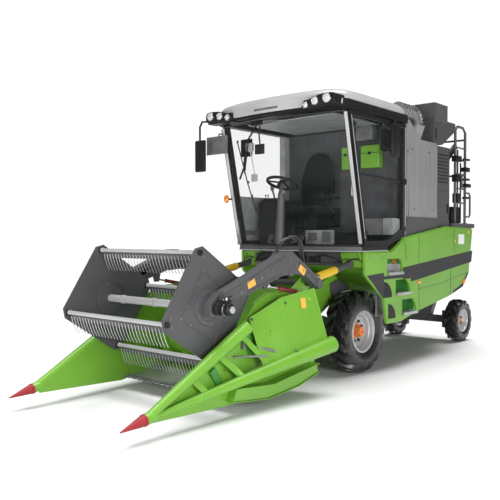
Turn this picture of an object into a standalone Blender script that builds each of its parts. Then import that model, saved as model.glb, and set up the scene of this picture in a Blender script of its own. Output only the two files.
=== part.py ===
"""Plot combine harvester: a cab machine on four wheels with a cutting header and a reel.

Metres, +Z up. The machine drives towards -Y, and +X is its left-hand side. Places along the machine
are measured from the front axle; the empty "machine" then moves everything so that the origin lies on
the floor in the middle of the whole machine.
"""

import math

import bmesh
import bpy
from mathutils import Matrix, Vector

# ---------------------------------------------------------------- driving dimensions
TIP_AHEAD = 3.59  # divider tips, ahead of the front axle
WHEELBASE = 2.98
GAP = 0.0003  # between pieces that touch
RUN = 0.006  # running clearance beside a moving piece
PIN_GAP = 0.0009  # round a pin, allowing for its flats
FLANGE = 0.018  # height of a rim's flange over the bead
RIM_WALL = 0.012

FRONT_TYRE_R = 0.4825
FRONT_TYRE_W = 0.31
FRONT_RIM_R = 0.2286
FRONT_TRACK = 1.15
REAR_TYRE_R = 0.317
REAR_TYRE_W = 0.21
REAR_RIM_R = 0.1524
REAR_TRACK = 1.06
KINGPIN_X = 0.375
WHEEL_SIDES = 28  # flats round a wheel; one of them stands on the floor
FLAT = math.cos(math.pi / WHEEL_SIDES)
FRONT_AXLE_Z = FRONT_TYRE_R * FLAT
REAR_AXLE_Z = REAR_TYRE_R * FLAT
AXLE_Y = (TIP_AHEAD - WHEELBASE - REAR_AXLE_Z) / 2  # the front axle's place from the middle of the machine

BODY_HALF = 0.91  # outside of the side panels
PANEL_T = 0.03
RAIL_X = 0.29
RAIL_W = 0.08
RAIL_Z = (0.70, 0.84)
RAIL_Y = (0.02, 3.10)
HOUSING_HALF = 0.37

CAB_HALF = 0.93  # outside of the door
CAB_FLOOR_Z = (1.41, 1.47)
CAB_TOP_Z = (2.93, 3.03)
CAB_FRONT_BOTTOM = -0.36  # front pillar at the floor
CAB_FRONT_TOP = -0.68  # front pillar at the roof ring
CAB_REAR = 0.60
CAB_BOW = 0.12  # how far the windscreen bows out in the middle
DOOR_T = 0.035
POST = 0.05
ROOF_RISE = 0.17
PLATFORM_REAR = 2.73
HOOD_REAR = 3.26
DRIVER_X = -0.21  # middle of the seat
WHEEL_TILT_DEG = -20.0

HEADER_HALF = 0.75  # inside of the header's end plates
SHEET = 0.012
KNIFE_Y = -2.25
LIFT_PIVOT = (-0.08, 0.98)
FEEDER_HALF = 0.32
AUGER = (-1.72, 0.47)
AUGER_R = 0.25
AUGER_CORE_R = 0.13

REEL = (-2.56, 0.968)
REEL_R = 0.491
REEL_HALF = 0.70
REEL_FIRST_DEG = 102.0  # direction of the first tine bar from the shaft, from +Y towards +Z
BAR_R = 0.018
SHAFT_R = 0.035
ARM_PIVOT = (-1.11, 1.10)
ARM_X = (0.762, 0.852)
ARM_TUBE_R = 0.030
REEL_BEARING = (0.716, 0.80)

LIFT_X = 0.72
LIFT_BARREL_EYE = (-0.355, 1.27)
LIFT_ROD_EYE = (-1.00, 1.15)
LIFT_BARREL_R = 0.035
LIFT_EYE_HALF = 0.025
LIFT_PIN_R = 0.016
REEL_LIFT_X = 0.80
REEL_BARREL_EYE = (-1.46, 1.045)
REEL_ROD_EYE = (-1.87, 1.12)
REEL_BARREL_R = 0.019
REEL_EYE_HALF = 0.016

# ---------------------------------------------------------------- scene and materials


def clear_scene():
    for old in list(bpy.data.objects):
        bpy.data.objects.remove(old)


def material(name, colour, roughness, metallic=0.0, alpha=1.0):
    made = bpy.data.materials.new(name)
    made.use_nodes = True
    shader = made.node_tree.nodes["Principled BSDF"]
    shader.inputs["Base Color"].default_value = (*colour, 1.0)
    shader.inputs["Roughness"].default_value = roughness
    shader.inputs["Metallic"].default_value = metallic
    shader.inputs["Alpha"].default_value = alpha
    return made


clear_scene()
GREEN = material("green_paint", (0.20, 0.55, 0.06), 0.35)
DARK = material("dark_paint", (0.10, 0.10, 0.105), 0.45)
LIGHT = material("light_paint", (0.42, 0.42, 0.42), 0.4)
WHITE = material("white_roof", (0.80, 0.80, 0.78), 0.35)
BLACK = material("black_plastic", (0.03, 0.03, 0.03), 0.55)
RUBBER = material("tyre_rubber", (0.025, 0.025, 0.025), 0.8)
RIM = material("rim_paint", (0.62, 0.62, 0.62), 0.35, 0.3)
GLASS = material("cab_glass", (0.75, 0.80, 0.80), 0.05, 0.0, 0.25)
STEEL = material("bright_steel", (0.50, 0.50, 0.50), 0.3, 1.0)
FABRIC = material("seat_fabric", (0.03, 0.03, 0.03), 0.9)
RED = material("red_paint", (0.55, 0.05, 0.05), 0.4)

collection = bpy.data.collections.new("plot_combine")
bpy.context.scene.collection.children.link(collection)
machine = bpy.data.objects.new("machine", None)
machine.location = (0, AXLE_Y, 0)
collection.objects.link(machine)

# ---------------------------------------------------------------- shape helpers


def new_object(name, mesh):
    made = bpy.data.objects.new(name, mesh)
    collection.objects.link(made)
    return made


def from_bmesh(shape, name="piece"):
    mesh = bpy.data.meshes.new(name)
    bmesh.ops.recalc_face_normals(shape, faces=shape.faces[:])
    shape.to_mesh(mesh)
    shape.free()
    return new_object(name, mesh)


def box(x, y, z):
    """A box from three (low, high) ranges."""
    middle = Vector([(a + b) / 2 for a, b in (x, y, z)])
    sides = [b - a for a, b in (x, y, z)]
    shape = bmesh.new()
    bmesh.ops.create_cube(shape, size=1, matrix=Matrix.Translation(middle) @ Matrix.Diagonal((*sides, 1)))
    return from_bmesh(shape)


def cone(start, end, r_start, r_end, sides=16):
    """A round bar from one point to another, tapered if its two radii differ."""
    a, b = Vector(start), Vector(end)
    turn = (b - a).to_track_quat("Z", "Y").to_matrix().to_4x4()
    shape = bmesh.new()
    bmesh.ops.create_cone(
        shape,
        cap_ends=True,
        segments=sides,
        radius1=r_start,
        radius2=r_end,
        depth=(b - a).length,
        matrix=Matrix.Translation((a + b) / 2) @ turn,
    )
    return from_bmesh(shape)


def bar(start, end, radius, sides=12):
    return cone(start, end, radius, radius, sides)


def across(x0, x1, place, radius, sides=16):
    """A round bar along X at place = (y, z)."""
    return bar((x0, *place), (x1, *place), radius, sides)


def beam(start, end, width, height, up=(0, 0, 1)):
    """A rectangular bar between two points; width is measured across, height towards up."""
    a, b = Vector(start), Vector(end)
    along = (b - a).normalized()
    side = along.cross(Vector(up)).normalized()
    top = side.cross(along)
    frame = Matrix((side, along, top)).transposed().to_4x4()
    shape = bmesh.new()
    size = Matrix.Diagonal((width, (b - a).length, height, 1))
    bmesh.ops.create_cube(shape, size=1, matrix=Matrix.Translation((a + b) / 2) @ frame @ size)
    return from_bmesh(shape)


def settle(made, weld=1e-5):
    """The object as its modifiers leave it, as one mesh object in world space."""
    bpy.context.view_layer.update()
    graph = bpy.context.evaluated_depsgraph_get()
    mesh = bpy.data.meshes.new_from_object(made.evaluated_get(graph))
    mesh.transform(made.matrix_world)
    shape = bmesh.new()
    shape.from_mesh(mesh)
    bmesh.ops.remove_doubles(shape, verts=shape.verts[:], dist=weld)
    bpy.data.objects.remove(made)
    return from_bmesh(shape)


PLANES = {
    # a flat outline's two coordinates and its thickness, as columns of a turn into X, Y, Z
    "X": Matrix(((0, 0, 1, 0), (1, 0, 0, 0), (0, 1, 0, 0), (0, 0, 0, 1))),
    "Y": Matrix(((1, 0, 0, 0), (0, 0, -1, 0), (0, 1, 0, 0), (0, 0, 0, 1))),
    "Z": Matrix.Identity(4),
}


def plate(points, low, high, axis="X"):
    """A flat outline given in (y, z), (x, z) or (x, y), from low to high along the axis."""
    curve = bpy.data.curves.new("outline", "CURVE")
    curve.dimensions = "2D"
    curve.fill_mode = "BOTH"
    curve.extrude = (high - low) / 2
    spline = curve.splines.new("POLY")
    spline.points.add(len(points) - 1)
    for point, (u, v) in zip(spline.points, points):
        point.co = (u, v, 0, 1)
    spline.use_cyclic_u = True
    made = new_object("outline", curve)
    middle = (low + high) / 2
    shift = {"X": (middle, 0, 0), "Y": (0, middle, 0), "Z": (0, 0, middle)}[axis]
    made.matrix_world = Matrix.Translation(shift) @ PLANES[axis]
    return settle(made)


def turned(profile, place, sides=WHEEL_SIDES):
    """A solid turned about the X axis through place = (x, y, z) from a line of (offset, radius).

    A line that starts and ends on the axis stays open, and any other is closed into a ring.
    """
    mesh = bpy.data.meshes.new("profile")
    count = len(profile)
    edges = [(i, i + 1) for i in range(count - 1)]
    if profile[0][1] > 0:
        edges.append((count - 1, 0))
    mesh.from_pydata([(radius, 0, offset) for offset, radius in profile], edges, [])
    made = new_object("profile", mesh)
    screw = made.modifiers.new("turn", "SCREW")
    screw.steps = screw.render_steps = sides
    screw.use_merge_vertices = True
    screw.merge_threshold = 1e-5
    half_step = Matrix.Rotation(math.pi / sides, 4, "Z")
    made.matrix_world = Matrix.Translation(place) @ Matrix.Rotation(math.pi / 2, 4, "Y") @ half_step
    return settle(made)


def pipe(points, radius, resolution=2, cyclic=False):
    curve = bpy.data.curves.new("pipe", "CURVE")
    curve.dimensions = "3D"
    curve.bevel_depth = radius
    curve.bevel_resolution = resolution
    curve.use_fill_caps = True
    spline = curve.splines.new("POLY")
    spline.points.add(len(points) - 1)
    for point, place in zip(spline.points, points):
        point.co = (*place, 1)
    spline.use_cyclic_u = cyclic
    return settle(new_object("pipe", curve))


def boolean(base, others, operation):
    helpers = bpy.data.collections.new("helpers")
    bpy.context.scene.collection.children.link(helpers)
    for other in others:
        helpers.objects.link(other)
        collection.objects.unlink(other)
    step = base.modifiers.new(operation.lower(), "BOOLEAN")
    step.operation = operation
    step.solver = "EXACT"
    step.operand_type = "COLLECTION"
    step.collection = helpers
    made = settle(base)
    for other in list(helpers.objects):
        bpy.data.objects.remove(other)
    bpy.data.collections.remove(helpers)
    return made


def fuse(*pieces):
    """One solid from pieces that overlap."""
    return boolean(pieces[0], pieces[1:], "UNION")


def cut(base, *cutters):
    return boolean(base, cutters, "DIFFERENCE")


def node(name, made, paint, pivot=(0, 0, 0)):
    """Names a finished solid, paints it, and puts its origin on its joint."""
    made.name = made.data.name = name
    made.data.transform(Matrix.Translation(-Vector(pivot)))
    made.location = pivot
    made.parent = machine
    made.data.materials.clear()
    made.data.materials.append(paint)
    made.data.shade_smooth()
    made.data.set_sharp_from_angle(angle=math.radians(30))
    return made


def arc(centre, radius, start, end, steps):
    """Points round an arc, angles in degrees from the first axis towards the second."""
    found = []
    for i in range(steps + 1):
        a = math.radians(start + (end - start) * i / steps)
        found.append((centre[0] + radius * math.cos(a), centre[1] + radius * math.sin(a)))
    return found


def span(side, low, high):
    """A range along X, on the left for side 1 and on the right for side -1."""
    return (side * low, side * high) if side > 0 else (-high, -low)


# ---------------------------------------------------------------- wheels and axles


def tyre(radius, width, rim_r, place):
    half = width / 2
    bead = rim_r + GAP / FLAT
    profile = [
        (-0.72 * half, bead),
        (-0.72 * half, bead + FLANGE + 0.004),
        (-0.98 * half, bead + 0.34 * (radius - bead)),
        (-half, bead + 0.62 * (radius - bead)),
        (-0.93 * half, radius * 0.955),
        (-0.72 * half, radius * 0.993),
        (0, radius),
        (0.72 * half, radius * 0.993),
        (0.93 * half, radius * 0.955),
        (half, bead + 0.62 * (radius - bead)),
        (0.98 * half, bead + 0.34 * (radius - bead)),
        (0.72 * half, bead + FLANGE + 0.004),
        (0.72 * half, bead),
    ]
    return turned(profile, place)


def rim(rim_r, width, hub_r, boss, place, side):
    """Barrel, dished disc and hub boss, with the disc's inside face in the wheel's middle."""
    half = 0.72 * width / 2
    lip = half + RIM_WALL
    profile = [
        (0, 0),
        (0, 0.50 * rim_r),
        (0.016, 0.62 * rim_r),
        (0, rim_r - RIM_WALL),
        (-lip, rim_r - RIM_WALL),
        (-lip, rim_r + FLANGE),
        (-half - GAP, rim_r + FLANGE),
        (-half - GAP, rim_r),
        (half + GAP, rim_r),
        (half + GAP, rim_r + FLANGE),
        (lip, rim_r + FLANGE),
        (lip, rim_r - RIM_WALL),
        (0.014, rim_r - RIM_WALL),
        (0.030, 0.62 * rim_r),
        (0.012, 0.52 * rim_r),
        (0.012, hub_r),
        (boss, hub_r * 0.92),
        (boss, 0),
    ]
    return turned([(side * offset, radius) for offset, radius in profile], place)


DRIVE_FACE = FRONT_TRACK / 2 - GAP  # where the front hubs meet the wheel discs
SPINDLE_FACE = REAR_TRACK / 2 - GAP


def wheels():
    for side, word in ((1, "left"), (-1, "right")):
        front = (side * FRONT_TRACK / 2, 0, FRONT_AXLE_Z)
        rear = (side * REAR_TRACK / 2, WHEELBASE, REAR_AXLE_Z)
        node(f"front_tyre_{word}", tyre(FRONT_TYRE_R, FRONT_TYRE_W, FRONT_RIM_R, front), RUBBER, front)
        made = rim(FRONT_RIM_R, FRONT_TYRE_W, 0.085, 0.10, front, side)
        node(f"front_rim_{word}", made, RIM, front)
        node(f"rear_tyre_{word}", tyre(REAR_TYRE_R, REAR_TYRE_W, REAR_RIM_R, rear), RUBBER, rear)
        made = rim(REAR_RIM_R, REAR_TYRE_W, 0.045, 0.045, rear, side)
        node(f"rear_rim_{word}", made, RIM, rear)


def front_axle():
    centre = (0, FRONT_AXLE_Z)
    pieces = [across(-0.45, 0.45, centre, 0.075), across(-0.13, 0.13, centre, 0.14)]
    for side in (1, -1):
        pieces.append(across(side * 0.40, side * (DRIVE_FACE - 0.045), centre, 0.115, 20))
        pieces.append(across(side * 0.50, side * DRIVE_FACE, centre, 0.085, 20))
        bracket = box(span(side, RAIL_X - 0.05, RAIL_X + 0.03), (-0.06, 0.06), (FRONT_AXLE_Z, RAIL_Z[0] - GAP))
        pieces.append(bracket)
    node("front_axle", fuse(*pieces), DARK)


def rear_axle():
    y = WHEELBASE
    z = REAR_AXLE_Z
    pieces = [
        box((-0.32, 0.32), (y - 0.05, y + 0.05), (z - 0.05, z + 0.05)),
        box((-0.34, 0.34), (y - 0.07, y + 0.07), (RAIL_Z[0] - 0.03, RAIL_Z[0] - GAP)),
        plate([(-0.09, z), (0.09, z), (0.20, RAIL_Z[0] - 0.01), (-0.20, RAIL_Z[0] - 0.01)], y - 0.06, y + 0.06, "Y"),
    ]
    for side in (1, -1):
        pieces.append(box(span(side, 0.29, 0.325), (y - 0.035, y + 0.035), (z - 0.13, z + 0.13)))
        for low, high in ((z - 0.13, z - 0.105), (z + 0.105, z + 0.13)):
            pieces.append(box(span(side, 0.30, KINGPIN_X + 0.035), (y - 0.035, y + 0.035), (low, high)))
    node("rear_axle", fuse(*pieces), DARK)


def knuckles():
    z = REAR_AXLE_Z
    for side, word in ((1, "left"), (-1, "right")):
        x = side * KINGPIN_X
        pieces = [
            bar((x, WHEELBASE, z - 0.105 + GAP), (x, WHEELBASE, z + 0.105 - GAP), 0.032, 16),
            across(x, side * SPINDLE_FACE, (WHEELBASE, z), 0.030),
            across(side * (SPINDLE_FACE - 0.02), side * SPINDLE_FACE, (WHEELBASE, z), 0.060, 20),
        ]
        node(f"knuckle_{word}", fuse(*pieces), DARK, (x, WHEELBASE, z))


# ---------------------------------------------------------------- chassis and body


def chassis_frame():
    pieces = []
    for side in (1, -1):
        pieces.append(box(span(side, RAIL_X - RAIL_W / 2, RAIL_X + RAIL_W / 2), RAIL_Y, RAIL_Z))
        ear = [
            (0.20, RAIL_Z[0] + 0.02),
            (0.20, 1.00),
            (LIFT_PIVOT[0] + 0.06, LIFT_PIVOT[1] + 0.09),
            (LIFT_PIVOT[0] - 0.07, LIFT_PIVOT[1] + 0.05),
            (LIFT_PIVOT[0] - 0.07, LIFT_PIVOT[1] - 0.06),
            (0.03, RAIL_Z[0] + 0.02),
        ]
        ear_x = sorted((side * (FEEDER_HALF + RUN), side * (FEEDER_HALF + 0.035)))
        pieces.append(plate(ear, *ear_x))
        pieces.append(across(side * (FEEDER_HALF - 0.05), side * (FEEDER_HALF + 0.03), LIFT_PIVOT, 0.035))
    for y in (0.25, 1.15, 2.20, 3.04):
        pieces.append(box((-RAIL_X, RAIL_X), (y - 0.04, y + 0.04), (RAIL_Z[0] + 0.02, RAIL_Z[1] - 0.02)))
    node("chassis_frame", fuse(*pieces), DARK)


ENGINE_Y = (1.36, 2.12)
ENGINE_Z = (RAIL_Z[1] + GAP, 1.28)
DECK_TOP = 1.70
BODY_IN = BODY_HALF - PANEL_T - GAP


def deck_height(y):
    """Height of the body's top edge behind the cab."""
    (y0, z0), (y1, z1) = SIDE_TOP[2], SIDE_TOP[3]
    return z0 + (z1 - z0) * (min(y, y1) - y0) / (y1 - y0)


def thresher_housing():
    low = RAIL_Z[1] + GAP
    top = CAB_FLOOR_Z[0] - GAP
    channel = plate([(0.24, low), (0.24, top - 0.02), (1.30, 1.40), (1.30, low)], -HOUSING_HALF, HOUSING_HALF)
    upper = plate(
        [
            (-0.30, 1.24),
            (-0.30, top),
            (0.26, top),
            (0.62, deck_height(0.62)),
            (1.70, DECK_TOP),
            (2.50, DECK_TOP),
            (2.40, 1.06),
            (2.25, 1.33),
            (1.30, 1.33),
            (1.20, 1.00),
            (0.26, 1.00),
            (0.10, 1.13),
        ],
        -BODY_IN,
        BODY_IN,
    )
    hood = plate(
        [
            (2.30, low),
            (2.30, DECK_TOP - 0.001),
            (2.75, DECK_TOP - 0.001),
            (HOOD_REAR - 0.06, 1.62),
            (HOOD_REAR, 1.50),
            (HOOD_REAR - 0.08, 1.05),
            (HOOD_REAR - 0.18, 0.95),
            (2.93, low),
        ],
        -0.60,
        0.60,
    )
    pocket = box((0.70, 1.0), (0.02, 1.02), (0.50, 1.36))
    pieces = [channel, upper, hood]
    for side in (1, -1):
        y, z = LIFT_BARREL_EYE
        ear = [(-0.28, 1.25), (-0.28, 1.35), (y - 0.03, z + 0.04), (y - 0.03, z - 0.04)]
        edge = LIFT_X - LIFT_BARREL_R - GAP
        pieces.append(plate(ear, *sorted((side * (edge - 0.03), side * edge))))
    pin_room = across(-LIFT_X, LIFT_X, LIFT_BARREL_EYE, LIFT_PIN_R + PIN_GAP)
    made = cut(fuse(*pieces), pocket, pin_room)
    node("thresher_housing", made, GREEN)
    node("engine", box((-0.30, 0.30), ENGINE_Y, ENGINE_Z), DARK)


SIDE_TOP = [(-0.33, 1.40), (0.26, 1.40), (0.57, 1.555), (1.70, DECK_TOP), (2.59, 1.68)]
SIDE_OUTLINE = SIDE_TOP + [(2.47, 1.07), (2.27, 0.88), (1.82, 0.78), (0.88, 0.65), (0.50, 0.57), (0.16, 0.57), (0.09, 0.86), (-0.32, 1.15)]
STEPS = [((0.16, 0.52), 1.13), ((0.36, 0.72), 0.88), ((0.52, 0.88), 0.635)]
STEP_RISE = 0.19


def body_panels():
    for side, word in ((1, "left"), (-1, "right")):
        edges = sorted((side * (BODY_HALF - PANEL_T), side * BODY_HALF))
        made = plate(SIDE_OUTLINE, *edges)
        if side > 0:
            cutters = [box((0.8, 1.0), y, (z, z + STEP_RISE)) for y, z in STEPS]
            made = cut(made, *cutters)
        node(f"side_panel_{word}", made, GREEN)


def steps():
    pieces = []
    for (y0, y1), z in STEPS:
        inside = y0 + 0.005, y1 - 0.005
        pieces.append(box((0.745, 0.94), inside, (z + 0.004, z + 0.03)))
        pieces.append(box((0.745, 0.77), inside, (z + 0.004, z + STEP_RISE - 0.004)))
    pieces.append(box((0.742, 0.765), (0.18, 0.86), (0.64, 1.35)))
    pieces.append(box((0.70 + GAP, 0.75), (0.18, 0.84), (1.10, 1.36 - GAP)))
    node("entry_steps", fuse(*pieces), STEEL)


# ---------------------------------------------------------------- cab


def bowed_front(y_side, half, bow, steps=8):
    """Points across the machine's front from left to right, bowed forward in the middle."""
    found = []
    for i in range(steps + 1):
        x = half - 2 * half * i / steps
        found.append((x, y_side - bow * (1 - (x / half) ** 2)))
    return found


def cab_plan(front, half, rear, bow):
    return bowed_front(front, half, bow) + [(-half, rear), (half, rear)]


DOOR_IN = CAB_HALF - DOOR_T  # the door's inside face


def front_edge(z):
    """Y of the front pillar's front face at a height."""
    share = (z - CAB_FLOOR_Z[1]) / (CAB_TOP_Z[0] - CAB_FLOOR_Z[1])
    return CAB_FRONT_BOTTOM + (CAB_FRONT_TOP - CAB_FRONT_BOTTOM) * share


def cab_floor():
    plan = cab_plan(CAB_FRONT_BOTTOM - 0.02, DOOR_IN - GAP, 0.20, CAB_BOW + 0.02)
    node("cab_floor", plate(plan, *CAB_FLOOR_Z, "Z"), DARK)


def cab_frame():
    low, high = CAB_FLOOR_Z[1] + GAP, CAB_TOP_Z[0] + 0.01
    out = DOOR_IN - GAP
    outer = plate(cab_plan(CAB_FRONT_TOP - 0.02, CAB_HALF, CAB_REAR, CAB_BOW + 0.02), *CAB_TOP_Z, "Z")
    inner = plate(cab_plan(CAB_FRONT_TOP + 0.06, out - 0.06, CAB_REAR - 0.10, CAB_BOW), CAB_TOP_Z[0] - 0.1, CAB_TOP_Z[1] + 0.1, "Z")
    pieces = [cut(outer, inner)]
    for side in (1, -1):
        edges = sorted((side * (out - POST), side * out))
        pillar = [
            (front_edge(low), low),
            (front_edge(low) + 0.07, low),
            (front_edge(high) + 0.07, high),
            (front_edge(high), high),
        ]
        pieces.append(plate(pillar, *edges))
        rear_post = [(0.52, 1.58), (0.60, 1.58), (CAB_REAR - 0.01, high), (0.52, high)]
        pieces.append(plate(rear_post, *edges))
        sill = [
            (front_edge(low) + 0.02, low),
            (0.19, low),
            (0.595, 1.59),
            (0.595, 1.68),
            (0.53, 1.68),
            (0.19, 1.53),
            (front_edge(low) + 0.02, 1.53),
        ]
        pieces.append(plate(sill, *edges))
    half = DOOR_IN - POST + 0.005
    wall = plate([(0.545, 1.585), (0.58, 1.585), (0.58, CAB_TOP_Z[0] - GAP), (0.545, CAB_TOP_Z[0] - GAP)], -half, half)
    step = plate([(0.21, 1.42), (0.25, 1.42), (0.58, 1.575), (0.58, 1.61), (0.545, 1.62), (0.23, 1.475), (0.21, 1.475)], -half, half)
    node("cab_frame", fuse(*pieces, wall, step), BLACK)


def bowed_glass():
    """The windscreen: one sheet bowed across and leaning forward, 6 mm thick."""
    half = DOOR_IN - 0.012
    low, high = CAB_FLOOR_Z[1] + GAP, CAB_TOP_Z[0] - GAP
    columns, rows = 12, 2
    shape = bmesh.new()
    grid = []
    for j in range(rows + 1):
        z = low + (high - low) * j / rows
        line = bowed_front(front_edge(z) - 0.008, half, CAB_BOW, columns)
        grid.append([shape.verts.new((x, y, z)) for x, y in line])
    for j in range(rows):
        for i in range(columns):
            shape.faces.new((grid[j][i], grid[j][i + 1], grid[j + 1][i + 1], grid[j + 1][i]))
    made = from_bmesh(shape)
    skin = made.modifiers.new("thickness", "SOLIDIFY")
    skin.thickness = 0.006
    skin.offset = 0
    made = settle(made)
    trim_low = box((-1.2, 1.2), (-1.5, 0.5), (low - 0.2, low))
    trim_high = box((-1.2, 1.2), (-1.5, 0.5), (high, high + 0.2))
    return cut(made, trim_low, trim_high)


def door_outline(inset, bottom=1.485, top=2.915):
    """The cab's side opening, in (y, z), drawn in by inset."""
    low, high = bottom + inset, top - inset
    return [
        (front_edge(low) + 0.010 + inset, low),
        (0.20 - 0.4 * inset, low),
        (0.565 - inset, 1.655 + 0.6 * inset),
        (0.565 - inset, high),
        (front_edge(high) + 0.010 + inset, high),
    ]


def cab_sides():
    ring = plate(door_outline(0), DOOR_IN + 0.0, CAB_HALF)
    hole = plate(door_outline(0.045), DOOR_IN - 0.1, CAB_HALF + 0.1)
    pivot = (CAB_HALF - 0.01, front_edge(1.47) + 0.01, 1.47)
    door = cut(ring, hole)
    catch = box((DOOR_IN + 0.001, CAB_HALF + 0.02), (0.44, 0.545), (2.20, 2.26))
    rail = bar((DOOR_IN + 0.011, front_edge(2.25) + 0.04, 2.27), (DOOR_IN + 0.011, 0.53, 2.22), 0.010, 10)
    node("door_frame", fuse(door, catch, rail), BLACK, pivot)
    glass = plate(door_outline(0.045 + GAP), DOOR_IN + 0.024, DOOR_IN + 0.030)
    catch_room = box((0.8, 1.0), (0.43, 0.6), (2.199, 2.261))
    node("door_glass", cut(glass, catch_room), GLASS, pivot)
    window = plate(door_outline(0), -(DOOR_IN + 0.0063), -(DOOR_IN + GAP))
    node("right_window", window, GLASS)


def cab_roof():
    """A domed cap: a plan outline drawn in and lifted in rings."""
    half, front, rear = 0.955, CAB_FRONT_TOP - 0.15, 0.68
    middle = (front + rear) / 2
    rings = [(1.0, 0.0), (1.0, 0.045), (0.93, 0.10), (0.70, 0.145), (0.35, ROOF_RISE)]
    plan = bowed_front(front, half, 0.10, 8) + [(-half, 0.2), (-half * 0.9, rear), (half * 0.9, rear), (half, 0.2)]
    shape = bmesh.new()
    grid = []
    for share, lift in rings:
        ring = [(x * share, middle + (y - middle) * share, CAB_TOP_Z[1] + GAP + lift) for x, y in plan]
        grid.append([shape.verts.new(point) for point in ring])
    count = len(plan)
    for a, b in zip(grid, grid[1:]):
        for i in range(count):
            shape.faces.new((a[i], a[(i + 1) % count], b[(i + 1) % count], b[i]))
    shape.faces.new(grid[0])
    shape.faces.new(grid[-1])
    node("cab_roof", from_bmesh(shape), WHITE)


def lamp_bar():
    """The black visor under the roof's front edge, with a pod of work lamps at each corner."""
    top = CAB_TOP_Z[1] - 0.002
    front = CAB_FRONT_TOP - 0.02
    outer = bowed_front(front - 0.11, CAB_HALF, CAB_BOW)
    inner = bowed_front(front - 2 * GAP, CAB_HALF, CAB_BOW + 0.02)
    visor = plate(outer + inner[::-1], top - 0.09, top, "Z")
    pieces = [visor]
    for side in (1, -1):
        pieces.append(box(span(side, 0.52, 0.90), (front - 0.24, front - 0.102), (top - 0.105, top - 0.001)))
    node("lamp_bar", fuse(*pieces), BLACK)


def rounded(made, width):
    soft = made.modifiers.new("round", "BEVEL")
    soft.width = width
    soft.segments = 2
    return settle(made)


def mirrors():
    """The right mirror hangs ahead of its pillar, and the left one lies folded back along the door."""
    x = -1.0
    wing = rounded(box((x - 0.07, x + 0.09), (-1.0, -0.96), (2.36, 2.74)), 0.014)
    path = [(-CAB_HALF - 0.010, -0.67, 2.98), (x, -0.72, 3.0), (x, -0.94, 2.97), (x, -0.98, 2.90), (x, -0.98, 2.72)]
    pad = box((-CAB_HALF - 0.018, -CAB_HALF - GAP), (-0.71, -0.62), (2.945, 3.015))
    node("mirror_right", fuse(wing, pipe(path, 0.012), pad), BLACK)
    folded = rounded(box((0.945, 0.985), (0.14, 0.32), (2.50, 2.88)), 0.014)
    stub = bar((CAB_HALF + GAP, 0.23, 2.905), (0.965, 0.23, 2.905), 0.014)
    hanger = bar((0.965, 0.23, 2.92), (0.965, 0.23, 2.86), 0.014)
    node("mirror_left", fuse(folded, stub, hanger), BLACK)


def cab_inside():
    floor = CAB_FLOOR_Z[1] + GAP
    middle = DRIVER_X
    console = fuse(
        box((middle - 0.55, middle - 0.30), (-0.15, 0.17), (floor, 2.02)),
        box((middle - 0.549, middle - 0.301), (0.0, 0.50), (1.70, 2.019)),
    )
    base = fuse(
        box((middle - 0.24, middle + 0.24), (-0.02, 0.24), (floor, 1.76)),
        box((middle - 0.239, middle + 0.239), (0.0, 0.44), (1.72, 1.80)),
        box((middle - 0.40, middle), (0.01, 0.16), (floor + 0.001, 1.60)),
        console,
    )
    slope = plate([(0.19, 1.3), (0.19, 1.52), (0.7, 1.75), (0.7, 1.3)], middle - 0.6, middle + 0.6)
    node("seat_base", cut(base, slope), BLACK)
    cushion = box((middle - 0.26, middle + 0.26), (-0.10, 0.38), (1.80 + GAP, 1.94))
    node("seat_cushion", rounded(cushion, 0.03), FABRIC)
    foot = 1.94 + GAP
    half_back = [(0.21, foot), (0.27, 2.10), (0.27, 2.30), (0.20, 2.54), (0.13, 2.63), (0.05, 2.66)]
    outline = [(middle + x, z) for x, z in half_back] + [(middle - x, z) for x, z in half_back[::-1]]
    back = plate(outline, 0.27, 0.37, "Y")
    lean = Matrix.Identity(4)
    lean[1][2] = 0.13
    back.data.transform(Matrix.Translation((0, 0, foot)) @ lean @ Matrix.Translation((0, 0, -foot)))
    node("seat_back", rounded(back, 0.02), FABRIC)
    steering(floor)


def steering(floor):
    """The column on the cab floor, and the wheel tilted towards the driver."""
    x = DRIVER_X
    tilt = Matrix.Translation((x, -0.372, 2.22)) @ Matrix.Rotation(math.radians(WHEEL_TILT_DEG), 4, "X")
    column = fuse(
        box((x - 0.12, x + 0.08), (-0.46, -0.33), (floor, floor + 0.03)),
        cone((x - 0.02, -0.40, floor + 0.02), (x, -0.395, 2.10), 0.065, 0.040),
        bar(tilt @ Vector((0, 0, -0.14)), tilt @ Vector((0, 0, -0.006 - GAP)), 0.022),
    )
    node("steering_column", column, DARK)
    ring = pipe([tilt @ Vector((*p, 0)) for p in arc((0, 0), 0.185, 0, 360 - 18, 19)], 0.014, 1, True)
    hub = bar(tilt @ Vector((0, 0, -0.006)), tilt @ Vector((0, 0, 0.02)), 0.04)
    spokes = [bar(tilt @ Vector((0, 0, 0.008)), tilt @ Vector((*p, 0)), 0.010, 8) for p in arc((0, 0), 0.185, 90, 330, 2)]
    node("steering_wheel", fuse(ring, hub, *spokes), BLACK)


# ---------------------------------------------------------------- behind the cab

COVER_Y = (0.68, 1.55)
COVER_X = (0.45, 0.86)
COVER_TOP = 2.80


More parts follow.
